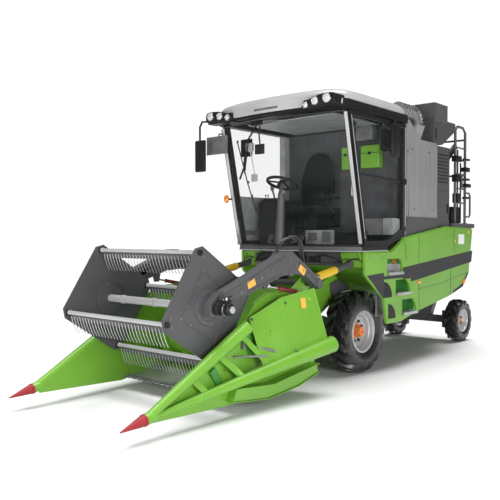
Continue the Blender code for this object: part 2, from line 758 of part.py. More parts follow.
def covers():
    front, rear = COVER_Y
    outline = [
        (front, deck_height(front) + GAP),
        (front, 3.02),
        (0.80, 3.00),
        (1.08, COVER_TOP),
        (rear, COVER_TOP),
        (rear, deck_height(rear) + GAP),
    ]
    for side, word in ((1, "left"), (-1, "right")):
        edges = sorted((side * COVER_X[0], side * COVER_X[1]))
        node(f"side_cover_{word}", plate(outline, *edges), LIGHT)
    hopper = [
        (0.72, deck_height(0.72) + GAP),
        (0.72, 2.60),
        (1.14, 2.84),
        (1.14, 3.00),
        (1.47, 3.08),
        (1.95, 3.10),
        (2.12, 3.06),
        (2.12, 2.06),
        (1.95, DECK_TOP + GAP),
        (1.70, DECK_TOP + GAP),
    ]
    inner = plate(hopper, -COVER_X[0] + GAP, COVER_X[0] - GAP)
    shoulders = [(1.46, COVER_TOP + GAP), (1.46, 3.11), (1.94, 3.13), (2.13, 3.11), (2.13, 3.03), (1.72, COVER_TOP + GAP)]
    screen = box((0.50, 0.849), (1.49, 1.88), (3.10, 3.335))
    node("grain_hopper", fuse(inner, plate(shoulders, -0.85, 0.85), screen), DARK)
    cabinet = box((COVER_X[0], 0.84), (rear + GAP, 1.97), (DECK_TOP + GAP, 2.78))
    node("sample_cabinet", cabinet, DARK)
    air_duct()


def air_duct():
    """From the back of the roof over and down onto the left cover, drawn in at its foot."""
    x = 0.735
    bend = [(x, u, v) for u, v in arc((1.02, 2.97), 0.17, 90, 0, 5)]
    duct = pipe([(x, 0.68 + GAP, 3.14), *bend, (x, 1.19, 2.94)], 0.095, 2)
    neck = cone((x, 1.19, 3.0), (x, 1.19, COVER_TOP + GAP), 0.115, 0.055, 16)
    node("air_duct", fuse(duct, neck), LIGHT)


PLATFORM_TOP = 1.76


def rear_platform():
    floor = box((-0.88, 0.88), (1.99, PLATFORM_REAR), (DECK_TOP + GAP, PLATFORM_TOP))
    low = PLATFORM_TOP - 0.01
    pieces = [floor]
    r = 0.018
    front, rear = 2.17, 2.50
    for side in (1, -1):
        x = side * 0.83
        loop = [(front, low), (front, 3.05), (front + 0.06, 3.11), (rear - 0.08, 3.11), (rear, 3.05), (rear, low)]
        pieces.append(pipe([(x, *p) for p in loop], r, 1))
        pieces.append(bar((x, front, 2.45), (x, rear, 2.45), r * 0.8, 8))
        grab = [(rear, 2.20), (rear + 0.15, 2.20), (rear + 0.18, 2.16), (rear + 0.18, 1.90), (rear + 0.15, 1.86), (rear, 1.86)]
        pieces.append(pipe([(x, *p) for p in grab], r * 0.8, 1))
    for z in (2.45, 2.95):
        pieces.append(bar((-0.83, rear, z), (0.83, rear, z), r * 0.8, 8))
    node("rear_platform", fuse(*pieces), DARK)


# ---------------------------------------------------------------- header


FEEDER_FRONT = -1.24
TROUGH_R = AUGER_R + 0.025
BACK_WALL = AUGER[0] + TROUGH_R


def feeder_house():
    outline = arc(LIFT_PIVOT, 0.15, -60, 110, 8) + [(FEEDER_FRONT + GAP, 0.62), (FEEDER_FRONT + GAP, 0.20)]
    made = plate(outline, -FEEDER_HALF, FEEDER_HALF)
    holes = []
    for side in (1, -1):
        holes.append(across(side * (FEEDER_HALF - 0.056), side * (FEEDER_HALF + 0.1), LIFT_PIVOT, 0.035 + PIN_GAP))
    throat = plate([(-1.30, 0.245), (-1.30, 0.585), (-0.80, 0.76), (-0.80, 0.50)], -0.29, 0.29)
    node("feeder_house", cut(made, throat, *holes), GREEN, (0, *LIFT_PIVOT))


def header_trough():
    inside = arc(AUGER, TROUGH_R, 250, 360, 8)
    outside = arc(AUGER, TROUGH_R + SHEET, 360, 250, 8)
    floor_y = KNIFE_Y + 0.10
    wall = [(floor_y, 0.135), *inside, (BACK_WALL, 0.97), (BACK_WALL + SHEET, 0.97), *outside, (floor_y, 0.135 - SHEET)]
    half = HEADER_HALF + 0.005
    pieces = [
        plate(wall, -half, half),
        box((-half, half), (BACK_WALL - 0.002, BACK_WALL + 0.10), (0.955, 1.047)),
        box((-half, half), (BACK_WALL + 0.003, FEEDER_FRONT - 0.01), (0.125, 0.20)),
    ]
    end = [
        (KNIFE_Y + 0.02, 0.09),
        (-2.30, 0.50),
        (-2.18, 0.78),
        (-2.02, 0.96),
        (-1.85, 1.04),
        (BACK_WALL + 0.11, 1.05),
        (FEEDER_FRONT - 0.01, 0.98),
        (-1.22, 0.20),
        (-1.50, 0.09),
    ]
    lift_y, lift_z = LIFT_ROD_EYE
    pivot_y, pivot_z = ARM_PIVOT
    ear = [
        (BACK_WALL + 0.05, 1.03),
        (pivot_y - 0.08, pivot_z + 0.06),
        (pivot_y + 0.02, pivot_z + 0.075),
        (lift_y + 0.03, lift_z + 0.035),
        (lift_y + 0.03, lift_z - 0.035),
        (pivot_y, pivot_z - 0.07),
        (BACK_WALL + 0.09, 0.97),
    ]
    foot_y, foot_z = REEL_BARREL_EYE
    foot = [(foot_y - 0.07, 1.0), (foot_y - 0.035, foot_z + 0.03), (foot_y + 0.035, foot_z + 0.03), (foot_y + 0.07, 1.0)]
    for side in (1, -1):
        pieces.append(plate(end, *sorted((side * HEADER_HALF, side * (HEADER_HALF + SHEET)))))
        pieces.append(plate(foot, *sorted((side * (HEADER_HALF + 0.004), side * (REEL_LIFT_X - REEL_BARREL_R - GAP)))))
        cheek = box(span(side, FEEDER_HALF - 0.01, FEEDER_HALF + 0.05), (BACK_WALL + 0.003, FEEDER_FRONT), (0.14, 0.98))
        pieces.append(cheek)
        edge = LIFT_X - LIFT_EYE_HALF - GAP
        pieces.append(plate(ear, *sorted((side * (edge - 0.03), side * edge))))
    made = fuse(*pieces)
    mouth = box((-0.29, 0.29), (BACK_WALL - 0.2, -1.0), (0.24, 0.60))
    bearings = [
        across(-1, 1, ARM_PIVOT, ARM_TUBE_R + PIN_GAP),
        across(-0.80, 0.80, AUGER, 0.030 + PIN_GAP),
    ]
    node("header_trough", cut(made, mouth, *bearings), GREEN, (0, *LIFT_PIVOT))


def cutter_bar():
    bed = box((-HEADER_HALF + GAP, HEADER_HALF - GAP), (KNIFE_Y, KNIFE_Y + 0.10 - GAP), (0.095, 0.130))
    node("cutter_bar", bed, STEEL, (0, *LIFT_PIVOT))


TIP = (0.80, -TIP_AHEAD + 0.0008, 0.13)
NOSE = (0.80, -3.36, 0.175)


def sheet_between(top, bottom, thickness):
    """A folded sheet between two lines of points."""
    shape = bmesh.new()
    upper = [shape.verts.new(p) for p in top]
    lower = [shape.verts.new(p) for p in bottom]
    for i in range(len(top) - 1):
        shape.faces.new((upper[i], upper[i + 1], lower[i + 1], lower[i]))
    made = from_bmesh(shape)
    skin = made.modifiers.new("thickness", "SOLIDIFY")
    skin.thickness = thickness
    skin.offset = 0
    return settle(made)


def dividers():
    inner = HEADER_HALF + SHEET + GAP
    for side, word in ((1, "left"), (-1, "right")):

        def at(point):
            return (side * point[0], point[1], point[2])

        sheet = [
            (-3.30, 0.13),
            (-3.30, 0.21),
            (-2.25, 0.75),
            (-2.03, 0.89),
            (-1.75, 0.955),
            (-1.26, 0.96),
            (-1.05, 0.66),
            (-1.10, 0.30),
            (-2.35, 0.095),
        ]
        pieces = [plate(sheet, *sorted((side * inner, side * (inner + 0.018))))]
        along = (Vector(NOSE) - Vector(TIP)).normalized()
        start = Vector(NOSE) + along * GAP
        pieces.append(cone(at(start), at(start + along * 0.10), 0.045, 0.045, 8))
        pieces.append(cone(at((0.80, -3.30, 0.20)), at((0.83, -2.20, 0.775)), 0.036, 0.062, 12))
        pieces.append(cone(at((0.80, -3.29, 0.18)), at((1.00, -1.10, 0.505)), 0.022, 0.082, 12))
        pieces.append(beam(at((0.77, -2.45, 0.55)), at((0.89, -2.30, 0.35)), 0.05, 0.03))
        pieces.append(beam(at((0.77, -1.90, 0.72)), at((0.88, -1.90, 0.70)), 0.05, 0.03))
        pieces.append(beam(at((0.77, -1.35, 0.80)), at((0.88, -1.35, 0.78)), 0.05, 0.03))
        top = [at(p) for p in ((0.81, -2.15, 0.84), (0.855, -1.75, 1.00), (0.875, -1.25, 1.06))]
        low = [at(p) for p in ((0.90, -2.05, 0.40), (0.935, -1.70, 0.42), (0.98, -1.15, 0.52))]
        pieces.append(sheet_between(top, low, 0.012))
        skid = [(-2.42, 0.15), (-2.38, 0.25), (-1.90, 0.21), (-1.18, 0.30), (-1.16, 0.22), (-1.50, 0.14), (-1.95, 0.10)]
        pieces.append(plate(skid, *sorted((side * (inner + 0.01), side * 0.87))))
        node(f"divider_{word}", fuse(*pieces), GREEN, (0, *LIFT_PIVOT))
        tip = cone(at(TIP), at(NOSE), 0.004, 0.046, 8)
        node(f"divider_tip_{word}", tip, RED, (0, *LIFT_PIVOT))


def helix_flight(start_x, end_x, turns, steps_per_turn=12):
    """A spiral ribbon round the auger's core."""
    steps = int(turns * steps_per_turn)
    shape = bmesh.new()
    inner, outer = [], []
    for i in range(steps + 1):
        a = 2 * math.pi * i / steps_per_turn
        x = start_x + (end_x - start_x) * i / steps
        for line, radius in ((inner, AUGER_CORE_R - 0.02), (outer, AUGER_R)):
            line.append(shape.verts.new((x, AUGER[0] + radius * math.cos(a), AUGER[1] + radius * math.sin(a))))
    for i in range(steps):
        shape.faces.new((inner[i], inner[i + 1], outer[i + 1], outer[i]))
    made = from_bmesh(shape)
    skin = made.modifiers.new("thickness", "SOLIDIFY")
    skin.thickness = 0.008
    skin.offset = 0
    return settle(made)


def auger():
    end = HEADER_HALF - RUN
    pieces = [
        across(-end, end, AUGER, AUGER_CORE_R, 20),
        across(-HEADER_HALF - SHEET + 0.001, HEADER_HALF + SHEET - 0.001, AUGER, 0.030),
        helix_flight(end - 0.005, 0.16, 2.0),
        helix_flight(-end + 0.005, -0.16, 2.0),
    ]
    node("auger", fuse(*pieces), GREEN, (0, *AUGER))


# ---------------------------------------------------------------- reel

def bar_place(index):
    a = math.radians(REEL_FIRST_DEG + 90 * index)
    return REEL[0] + REEL_R * math.cos(a), REEL[1] + REEL_R * math.sin(a)


def reel_arms():
    profile = [
        (-2.53, 1.02),
        (-2.52, 1.11),
        (-1.66, 1.44),
        (-1.56, 1.44),
        (-1.47, 1.38),
        (-1.06, 1.13),
        (-1.06, 1.07),
        (-1.12, 1.05),
        (-1.35, 1.20),
        (-1.50, 1.22),
        (-1.72, 1.21),
        (-2.19, 1.07),
    ]
    eye_y, eye_z = REEL_ROD_EYE
    lug = [(eye_y - 0.06, 1.20), (eye_y - 0.03, eye_z - 0.03), (eye_y + 0.03, eye_z - 0.03), (eye_y + 0.06, 1.22)]
    hanger = [(-2.64, 0.90), (-2.64, 1.01), (-2.52, 1.10), (-2.36, 1.15), (-2.44, 0.89)]
    pieces = [across(-ARM_X[1] + 0.01, ARM_X[1] - 0.01, ARM_PIVOT, ARM_TUBE_R)]
    for side in (1, -1):
        pieces.append(plate(profile, *sorted((side * ARM_X[0], side * ARM_X[1]))))
        pieces.append(plate(lug, *sorted((side * (ARM_X[0] + 0.001), side * (REEL_LIFT_X - REEL_EYE_HALF - GAP)))))
        pieces.append(plate(hanger, *sorted((side * REEL_BEARING[0], side * REEL_BEARING[1]))))
    bore = across(-0.9, 0.9, REEL, SHAFT_R + PIN_GAP)
    node("reel_arms", cut(fuse(*pieces), bore), DARK, (0, *ARM_PIVOT))


def reel_frame():
    end = REEL_BEARING[1] - 0.012
    pieces = [across(-end, end, REEL, SHAFT_R)]
    corner = 0.045
    reach = (REEL_R + corner) / math.cos(math.radians(5))
    outline = []
    for i in range(4):
        a = REEL_FIRST_DEG + 90 * i
        for turn in (-5, 5):
            outline.append((REEL[0] + reach * math.cos(math.radians(a + turn)), REEL[1] + reach * math.sin(math.radians(a + turn))))
    for side in (1, -1):
        pieces.append(plate(outline, *sorted((side * (REEL_HALF - 0.006), side * REEL_HALF))))
        pieces.append(across(side * (REEL_HALF - 0.03), side * (REEL_HALF + 0.010), REEL, 0.15, 20))
    holes = [across(-0.8, 0.8, bar_place(i), BAR_R + PIN_GAP, 12) for i in range(4)]
    node("reel_frame", cut(fuse(*pieces), *holes), DARK, (0, *REEL))


def tine_bars():
    """Each bar stays level as the reel turns: a tube with a comb strip that carries the tines."""
    for i in range(4):
        y, z = bar_place(i)
        pieces = [across(-REEL_HALF - 0.012, REEL_HALF + 0.012, (y, z), BAR_R, 12)]
        slant = math.radians(18)
        comb = beam(
            (-0.66, y + 0.045 * math.sin(slant), z - 0.045 * math.cos(slant)),
            (0.66, y + 0.045 * math.sin(slant), z - 0.045 * math.cos(slant)),
            0.006,
            0.07,
            (0, -math.sin(slant), math.cos(slant)),
        )
        pieces.append(comb)
        node(f"tine_bar_{i + 1}", fuse(*pieces), STEEL, (0, y, z))


# ---------------------------------------------------------------- cylinders

def ram(x, base, eye, radius, rod_r, reach, eye_half, inset):
    """A hollow barrel and the rod that slides in it. base and eye are (y, z); inset is where the rod starts."""
    start, end = Vector((x, *base)), Vector((x, *eye))
    along = (end - start).normalized()
    length = (end - start).length
    side = Vector((radius, 0, 0))
    body = cone(start, start + along * reach * length, radius, radius, 12)
    knob = bar(start - side, start + side, radius * 1.15, 12)
    bore = bar(start + along * (radius + 0.03), start + along * length * 1.1, rod_r + 0.0015, 12)
    rod = bar(start + along * inset, end, rod_r, 12)
    side = Vector((eye_half, 0, 0))
    eyelet = bar(end - side, end + side, rod_r * 1.7, 12)
    return cut(fuse(body, knob), bore), fuse(rod, eyelet)


def lift_cylinders():
    """The pair that carries the header, with one cross shaft through both barrels' feet."""
    barrels = []
    for side, word in ((1, "left"), (-1, "right")):
        barrel, rod = ram(
            side * LIFT_X, LIFT_BARREL_EYE, LIFT_ROD_EYE, LIFT_BARREL_R, 0.018, 0.70, LIFT_EYE_HALF, 0.19
        )
        barrels.append(barrel)
        node(f"lift_rod_{word}", rod, STEEL, (0, *LIFT_ROD_EYE))
    shaft = across(-LIFT_X, LIFT_X, LIFT_BARREL_EYE, LIFT_PIN_R)
    node("lift_barrels", fuse(*barrels, shaft), DARK, (0, *LIFT_BARREL_EYE))


def reel_cylinders():
    for side, word in ((1, "left"), (-1, "right")):
        barrel, rod = ram(
            side * REEL_LIFT_X, REEL_BARREL_EYE, REEL_ROD_EYE, REEL_BARREL_R, 0.010, 0.62, REEL_EYE_HALF, 0.08
        )
        node(f"reel_barrel_{word}", barrel, RED, (0, *REEL_BARREL_EYE))
        node(f"reel_rod_{word}", rod, STEEL, (0, *REEL_ROD_EYE))


wheels()
front_axle()
rear_axle()
knuckles()
chassis_frame()
thresher_housing()
body_panels()
steps()
cab_floor()
cab_frame()
node("windscreen", bowed_glass(), GLASS)
cab_sides()
cab_roof()
lamp_bar()
mirrors()
cab_inside()
covers()
rear_platform()
feeder_house()
header_trough()
cutter_bar()
dividers()
auger()
reel_arms()
reel_frame()
tine_bars()
lift_cylinders()
reel_cylinders()
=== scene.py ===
import math

import bmesh
import bpy
from mathutils import Matrix, Vector


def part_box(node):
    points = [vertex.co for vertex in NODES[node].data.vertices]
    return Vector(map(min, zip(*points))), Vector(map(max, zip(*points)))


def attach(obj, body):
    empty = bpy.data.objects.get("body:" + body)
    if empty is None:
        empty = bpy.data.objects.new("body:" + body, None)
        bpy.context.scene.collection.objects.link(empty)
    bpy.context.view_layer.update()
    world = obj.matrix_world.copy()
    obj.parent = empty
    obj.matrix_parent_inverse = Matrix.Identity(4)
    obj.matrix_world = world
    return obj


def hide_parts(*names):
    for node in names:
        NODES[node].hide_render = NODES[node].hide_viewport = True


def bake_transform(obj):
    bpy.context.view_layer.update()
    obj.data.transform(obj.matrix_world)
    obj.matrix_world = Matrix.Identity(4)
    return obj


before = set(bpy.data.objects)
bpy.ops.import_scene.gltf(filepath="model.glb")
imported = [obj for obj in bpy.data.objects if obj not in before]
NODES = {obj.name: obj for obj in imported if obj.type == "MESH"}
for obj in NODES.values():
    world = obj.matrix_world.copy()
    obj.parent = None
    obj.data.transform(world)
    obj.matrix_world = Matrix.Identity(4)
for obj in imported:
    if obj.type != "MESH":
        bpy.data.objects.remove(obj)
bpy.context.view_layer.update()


def middle(node):
    low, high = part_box(node)
    return (low + high) / 2


AXLE = middle("front_tyre_left")
AXLE_Y = AXLE.y
REEL_SHAFT = (middle("reel_frame").y - AXLE_Y, middle("reel_frame").z)
AUGER = (middle("auger").y - AXLE_Y, middle("auger").z)
BODY_SIDE = 0.91
PROUD = 0.0015  # how far a thin plate or sticker stands off its panel


# ------------------------------------------------------------------------------------ materials


def shader_of(name, colour, roughness, metallic=0.0):
    made = bpy.data.materials.new(name)
    made.use_nodes = True
    nodes, links = made.node_tree.nodes, made.node_tree.links
    shader = nodes["Principled BSDF"]
    shader.inputs["Base Color"].default_value = (*colour, 1)
    shader.inputs["Roughness"].default_value = roughness
    shader.inputs["Metallic"].default_value = metallic
    return made, nodes, links, shader


def noise(nodes, links, scale, detail=3.0, stretch=(1, 1, 1)):
    place = nodes.new("ShaderNodeTexCoord")
    turn = nodes.new("ShaderNodeMapping")
    turn.inputs["Scale"].default_value = stretch
    links.new(place.outputs["Object"], turn.inputs["Vector"])
    made = nodes.new("ShaderNodeTexNoise")
    made.inputs["Scale"].default_value = scale
    made.inputs["Detail"].default_value = detail
    links.new(turn.outputs["Vector"], made.inputs["Vector"])
    return made.outputs["Fac"]


def spread(nodes, links, value, low, high, start=0.3, end=0.7):
    """Maps a noise value from its usual range onto low to high."""
    made = nodes.new("ShaderNodeMapRange")
    made.inputs["From Min"].default_value = start
    made.inputs["From Max"].default_value = end
    made.inputs["To Min"].default_value = low
    made.inputs["To Max"].default_value = high
    links.new(value, made.inputs["Value"])
    return made.outputs["Result"]


def tint(nodes, links, factor, first, second):
    made = nodes.new("ShaderNodeMix")
    made.data_type = "RGBA"
    made.inputs[6].default_value = (*first, 1)
    made.inputs[7].default_value = (*second, 1)
    links.new(factor, made.inputs[0])
    return made.outputs[2]


def bump(nodes, links, shader, height, strength, distance):
    made = nodes.new("ShaderNodeBump")
    made.inputs["Strength"].default_value = strength
    made.inputs["Distance"].default_value = distance
    links.new(height, made.inputs["Height"])
    links.new(made.outputs["Normal"], shader.inputs["Normal"])


def shade(colour, share):
    return tuple(min(1.0, c * share) for c in colour)


def paint(name, colour, roughness=0.35, coat=0.3, peel=0.06, metallic=0.0):
    """Sprayed paint: slow colour drift, a film of dust in the hollows of the gloss, and orange peel."""
    made, nodes, links, shader = shader_of(name, colour, roughness, metallic)
    drift = spread(nodes, links, noise(nodes, links, 2.3, 4), 0, 1)
    links.new(
        tint(nodes, links, drift, shade(colour, 0.93), shade(colour, 1.06)), shader.inputs["Base Color"],
    )
    dust = noise(nodes, links, 34, 6)
    links.new(spread(nodes, links, dust, roughness - 0.06, roughness + 0.09), shader.inputs["Roughness"])
    shader.inputs["Coat Weight"].default_value = coat
    shader.inputs["Coat Roughness"].default_value = 0.16
    bump(nodes, links, shader, noise(nodes, links, 240, 2), peel, 0.002)
    return made


def plastic(name, colour, roughness=0.5, grain=2200, depth=0.06):
    """Moulded plastic with a fine leathery grain."""
    made, nodes, links, shader = shader_of(name, colour, roughness)
    shader.inputs["Specular IOR Level"].default_value = 0.22
    cells = nodes.new("ShaderNodeTexVoronoi")
    cells.inputs["Scale"].default_value = grain / 4
    place = nodes.new("ShaderNodeTexCoord")
    links.new(place.outputs["Object"], cells.inputs["Vector"])
    drift = spread(nodes, links, noise(nodes, links, 9, 5), 0, 1)
    links.new(tint(nodes, links, drift, shade(colour, 0.8), shade(colour, 1.25)), shader.inputs["Base Color"])
    links.new(
        spread(nodes, links, noise(nodes, links, 60, 4), roughness - 0.08, roughness + 0.1),
        shader.inputs["Roughness"],
    )
    bump(nodes, links, shader, cells.outputs["Distance"], depth, 0.0008)
    return made


def metal(name, colour, roughness=0.32, stretch=(1, 14, 14)):
    """Bare or plated metal with rolling marks along one direction."""
    made, nodes, links, shader = shader_of(name, colour, roughness, 1.0)
    marks = noise(nodes, links, 40, 5, stretch)
    links.new(spread(nodes, links, marks, roughness - 0.1, roughness + 0.16), shader.inputs["Roughness"])
    stain = spread(nodes, links, noise(nodes, links, 6, 6), 0, 1)
    links.new(
        tint(nodes, links, stain, shade(colour, 0.82), shade(colour, 1.08)), shader.inputs["Base Color"],
    )
    bump(nodes, links, shader, marks, 0.08, 0.001)
    return made


def rubber(name, colour, roughness=0.5):
    made, nodes, links, shader = shader_of(name, colour, roughness)
    shader.inputs["Coat Weight"].default_value = 0.25
    shader.inputs["Coat Roughness"].default_value = 0.3
    scuff = spread(nodes, links, noise(nodes, links, 14, 8), 0, 1, 0.45, 0.75)
    links.new(tint(nodes, links, scuff, colour, shade(colour, 2.4)), shader.inputs["Base Color"])
    links.new(
        spread(nodes, links, noise(nodes, links, 25, 6), roughness - 0.12, roughness + 0.15),
        shader.inputs["Roughness"],
    )
    bump(nodes, links, shader, noise(nodes, links, 160, 6), 0.25, 0.002)
    return made


def woven(name, colour):
    """Seat cloth: two crossed sets of threads, from position and not from an unwrapped map."""
    made, nodes, links, shader = shader_of(name, colour, 0.9)
    place = nodes.new("ShaderNodeTexCoord")
    heights = []
    for direction in ("X", "Z"):
        wave = nodes.new("ShaderNodeTexWave")
        wave.bands_direction = direction
        wave.inputs["Scale"].default_value = 95
        wave.inputs["Distortion"].default_value = 0.6
        links.new(place.outputs["Object"], wave.inputs["Vector"])
        heights.append(wave.outputs["Fac"])
    cross = nodes.new("ShaderNodeMath")
    cross.operation = "MULTIPLY"
    links.new(heights[0], cross.inputs[0])
    links.new(heights[1], cross.inputs[1])
    links.new(tint(nodes, links, cross.outputs[0], colour, shade(colour, 2.2)), shader.inputs["Base Color"])
    shader.inputs["Sheen Weight"].default_value = 0.04
    shader.inputs["Specular IOR Level"].default_value = 0.12
    bump(nodes, links, shader, cross.outputs[0], 0.4, 0.0012)
    return made


def glass(name, tone, alpha, roughness=0.03):
    made, nodes, links, shader = shader_of(name, tone, roughness)
    shader.inputs["Alpha"].default_value = alpha
    shader.inputs["Coat Weight"].default_value = 1.0
    shader.inputs["Coat Roughness"].default_value = 0.02
    smear = noise(nodes, links, 5, 4)
    links.new(spread(nodes, links, smear, roughness, roughness + 0.05), shader.inputs["Roughness"])
    return made


GREEN = paint("green_paint", (0.142, 0.350, 0.026), 0.38, 0.1)
# painted shade: a darker copy of the green paint, used on parts and recesses that stand in shadow
SHADE_GREEN = paint("shaded_green", (0.035, 0.20, 0.03), 0.45, 0.1)
DARK = paint("dark_paint", (0.066, 0.066, 0.070), 0.45, 0.08)
STRIPE = paint("stripe_film", (0.026, 0.026, 0.028), 0.62, 0.0, 0.02)
LIGHT = paint("light_paint", (0.235, 0.235, 0.24), 0.45, 0.1)
SILVER = paint("silver_paint", (0.46, 0.46, 0.47), 0.36, 0.3, 0.05, 0.25)
WHITE = paint("white_roof", (0.44, 0.44, 0.435), 0.4, 0.1, 0.03)
RED = paint("red_paint", (0.27, 0.008, 0.014), 0.6, 0.0)
DEEP_RED = paint("cylinder_red", (0.19, 0.01, 0.022), 0.35)
YELLOW = paint("yellow_paint", (0.66, 0.42, 0.02), 0.38)
ORANGE = paint("orange_paint", (0.70, 0.19, 0.03), 0.4)
LABEL = paint("blank_label", (0.86, 0.42, 0.06), 0.45, 0.2, 0.0)
PLATE = paint("blank_plate", (0.80, 0.80, 0.80), 0.4, 0.2, 0.0)
BLACK = plastic("black_plastic", (0.012, 0.012, 0.013), 0.42)
GREY_PLASTIC = plastic("grey_plastic", (0.13, 0.13, 0.135), 0.5)
PALE_PLASTIC = plastic("pale_plastic", (0.27, 0.28, 0.28), 0.5)
FELT = plastic("wall_felt", (0.062, 0.062, 0.065), 0.8, 2400, 0.05)
TYRE = rubber("tyre_rubber", (0.0095, 0.0095, 0.010), 0.36)
HOSE = rubber("hose_rubber", (0.012, 0.012, 0.013), 0.45)
STEEL = metal("bright_steel", (0.56, 0.56, 0.57), 0.34)
GREY_STEEL = metal("grey_steel", (0.27, 0.27, 0.28), 0.42)
CHROME = metal("polished_rod", (0.75, 0.75, 0.76), 0.12)
FABRIC = woven("seat_fabric", (0.0045, 0.0045, 0.005))
GLASS = glass("cab_glass", (0.05, 0.07, 0.07), 0.045)
SCREEN = glass("screen_glass", (0.02, 0.03, 0.04), 1.0, 0.08)
LENS = glass("lamp_lens", (0.82, 0.84, 0.86), 0.55, 0.08)
AMBER = glass("amber_lens", (0.85, 0.22, 0.01), 0.9, 0.12)
RED_LENS = glass("red_lens", (0.5, 0.02, 0.02), 0.9, 0.12)


# ------------------------------------------------------------------------------------ shapes


class Shape:
    """Solid pieces drawn into one mesh, placed as in the CAD: y is measured from the front axle."""

    def __init__(self):
        self.mesh = bmesh.new()

    def box(self, x, y, z, turn=None):
        centre = Vector([(a + b) / 2 for a, b in (x, y, z)])
        size = Matrix.Diagonal((*[abs(b - a) for a, b in (x, y, z)], 1))
        place = Matrix.Translation(centre) @ (turn.to_4x4() if turn else Matrix.Identity(4)) @ size
        bmesh.ops.create_cube(self.mesh, size=1, matrix=place)
        return self

    def bar(self, start, end, radius, end_radius=None, sides=20):
        a, b = Vector(start), Vector(end)
        turn = (b - a).to_track_quat("Z", "Y").to_matrix().to_4x4()
        bmesh.ops.create_cone(
            self.mesh, cap_ends=True, segments=sides, radius1=radius,
            radius2=radius if end_radius is None else end_radius,
            depth=(b - a).length, matrix=Matrix.Translation((a + b) / 2) @ turn,
        )
        return self

    def across(self, x0, x1, place, radius, sides=32):
        return self.bar((x0, *place), (x1, *place), radius, sides=sides)

    def beam(self, start, end, width, height, up=(0, 0, 1)):
        a, b = Vector(start), Vector(end)
        along = (b - a).normalized()
        side = along.cross(Vector(up)).normalized()
        turn = Matrix((side, along, side.cross(along))).transposed().to_4x4()
        size = Matrix.Diagonal((width, (b - a).length, height, 1))
        bmesh.ops.create_cube(self.mesh, size=1, matrix=Matrix.Translation((a + b) / 2) @ turn @ size)
        return self

    def plate(self, points, low, high, axis="X"):
        """A flat outline in (y, z), (x, z) or (x, y), from low to high along the axis."""
        place = {
            "X": lambda u, v, w: (w, u, v),
            "Y": lambda u, v, w: (u, w, v),
            "Z": lambda u, v, w: (u, v, w),
        }[axis]
        rings = [[self.mesh.verts.new(place(u, v, w)) for u, v in points] for w in (low, high)]
        self.mesh.faces.new(rings[0])
        self.mesh.faces.new(rings[1][::-1])
        self.bridge(rings[0], rings[1], True)
        return self

    def bridge(self, first, second, closed):
        count = len(first)
        for i in range(count if closed else count - 1):
            j = (i + 1) % count
            self.mesh.faces.new((first[i], first[j], second[j], second[i]))

    def turned(self, profile, place, sides=64, axis="X"):
        """A ring or a solid turned about an axis through place, from (offset, radius) points."""
        rings = []
        for offset, radius in profile:
            ring = []
            for i in range(sides):
                a = 2 * math.pi * i / sides
                u, v = radius * math.cos(a), radius * math.sin(a)
                point = (offset, u, v) if axis == "X" else (u, v, offset) if axis == "Z" else (u, offset, v)
                ring.append(self.mesh.verts.new(Vector(place) + Vector(point)))
            rings.append(ring)
        for a, b in zip(rings, rings[1:]):
            self.bridge(a, b, True)
        if profile[0] == profile[-1]:
            return self
        self.mesh.faces.new(rings[0])
        self.mesh.faces.new(rings[-1])
        return self

    def tube(self, points, radius, sides=10, closed=False):
        """A round tube along a line of points."""
        line = [Vector(p) for p in points]
        count = len(line)
        rings = []
        normal = None
        for i, point in enumerate(line):
            ahead = line[(i + 1) % count] if closed or i < count - 1 else point
            behind = line[i - 1] if closed or i > 0 else point
            along = (ahead - behind).normalized()
            normal = along.orthogonal() if normal is None else (normal - along * normal.dot(along))
            normal.normalize()
            side = along.cross(normal)
            ring = []
            for j in range(sides):
                a = 2 * math.pi * j / sides
                ring.append(self.mesh.verts.new(point + radius * (math.cos(a) * normal + math.sin(a) * side)))
            rings.append(ring)
        for a, b in zip(rings, rings[1:] + rings[:1] if closed else rings[1:]):
            self.bridge(a, b, True)
        if not closed:
            self.mesh.faces.new(rings[0])
            self.mesh.faces.new(rings[-1])
        return self

    def bolt(self, place, normal, radius=0.009, height=0.007):
        """A hexagon head on its washer."""
        a, along = Vector(place), Vector(normal).normalized()
        self.bar(a, a + along * height * 0.25, radius * 1.55, sides=16)
        return self.bar(a, a + along * height, radius, sides=6)

    def ball(self, place, radius, squash=(1, 1, 1)):
        matrix = Matrix.Translation(Vector(place)) @ Matrix.Diagonal((*squash, 1))
        bmesh.ops.create_uvsphere(self.mesh, u_segments=20, v_segments=12, radius=radius, matrix=matrix)
        return self

    def done(self, name, body, finish, slot=None, edge=0.002, angle=32):
        """The finished piece: rounded edges, its material, and the body that it rides on."""
        bmesh.ops.recalc_face_normals(self.mesh, faces=self.mesh.faces[:])
        mesh = bpy.data.meshes.new(name)
        self.mesh.to_mesh(mesh)
        self.mesh.free()
        mesh.transform(Matrix.Translation((0, AXLE_Y, 0)))
        mesh.shade_smooth()
        mesh.set_sharp_from_angle(angle=math.radians(angle))
        made = bpy.data.objects.new(name, mesh)
        bpy.context.scene.collection.objects.link(made)
        mesh.materials.append(finish)
        if edge:
            soft = made.modifiers.new("edges", "BEVEL")
            soft.width = edge
            soft.segments = 2
            soft.limit_method = "ANGLE"
            soft.angle_limit = math.radians(40)
        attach(made, body)
        return made


def arc(centre, radius, start, end, steps):
    found = []
    for i in range(steps + 1):
        a = math.radians(start + (end - start) * i / steps)
        found.append((centre[0] + radius * math.cos(a), centre[1] + radius * math.sin(a)))
    return found


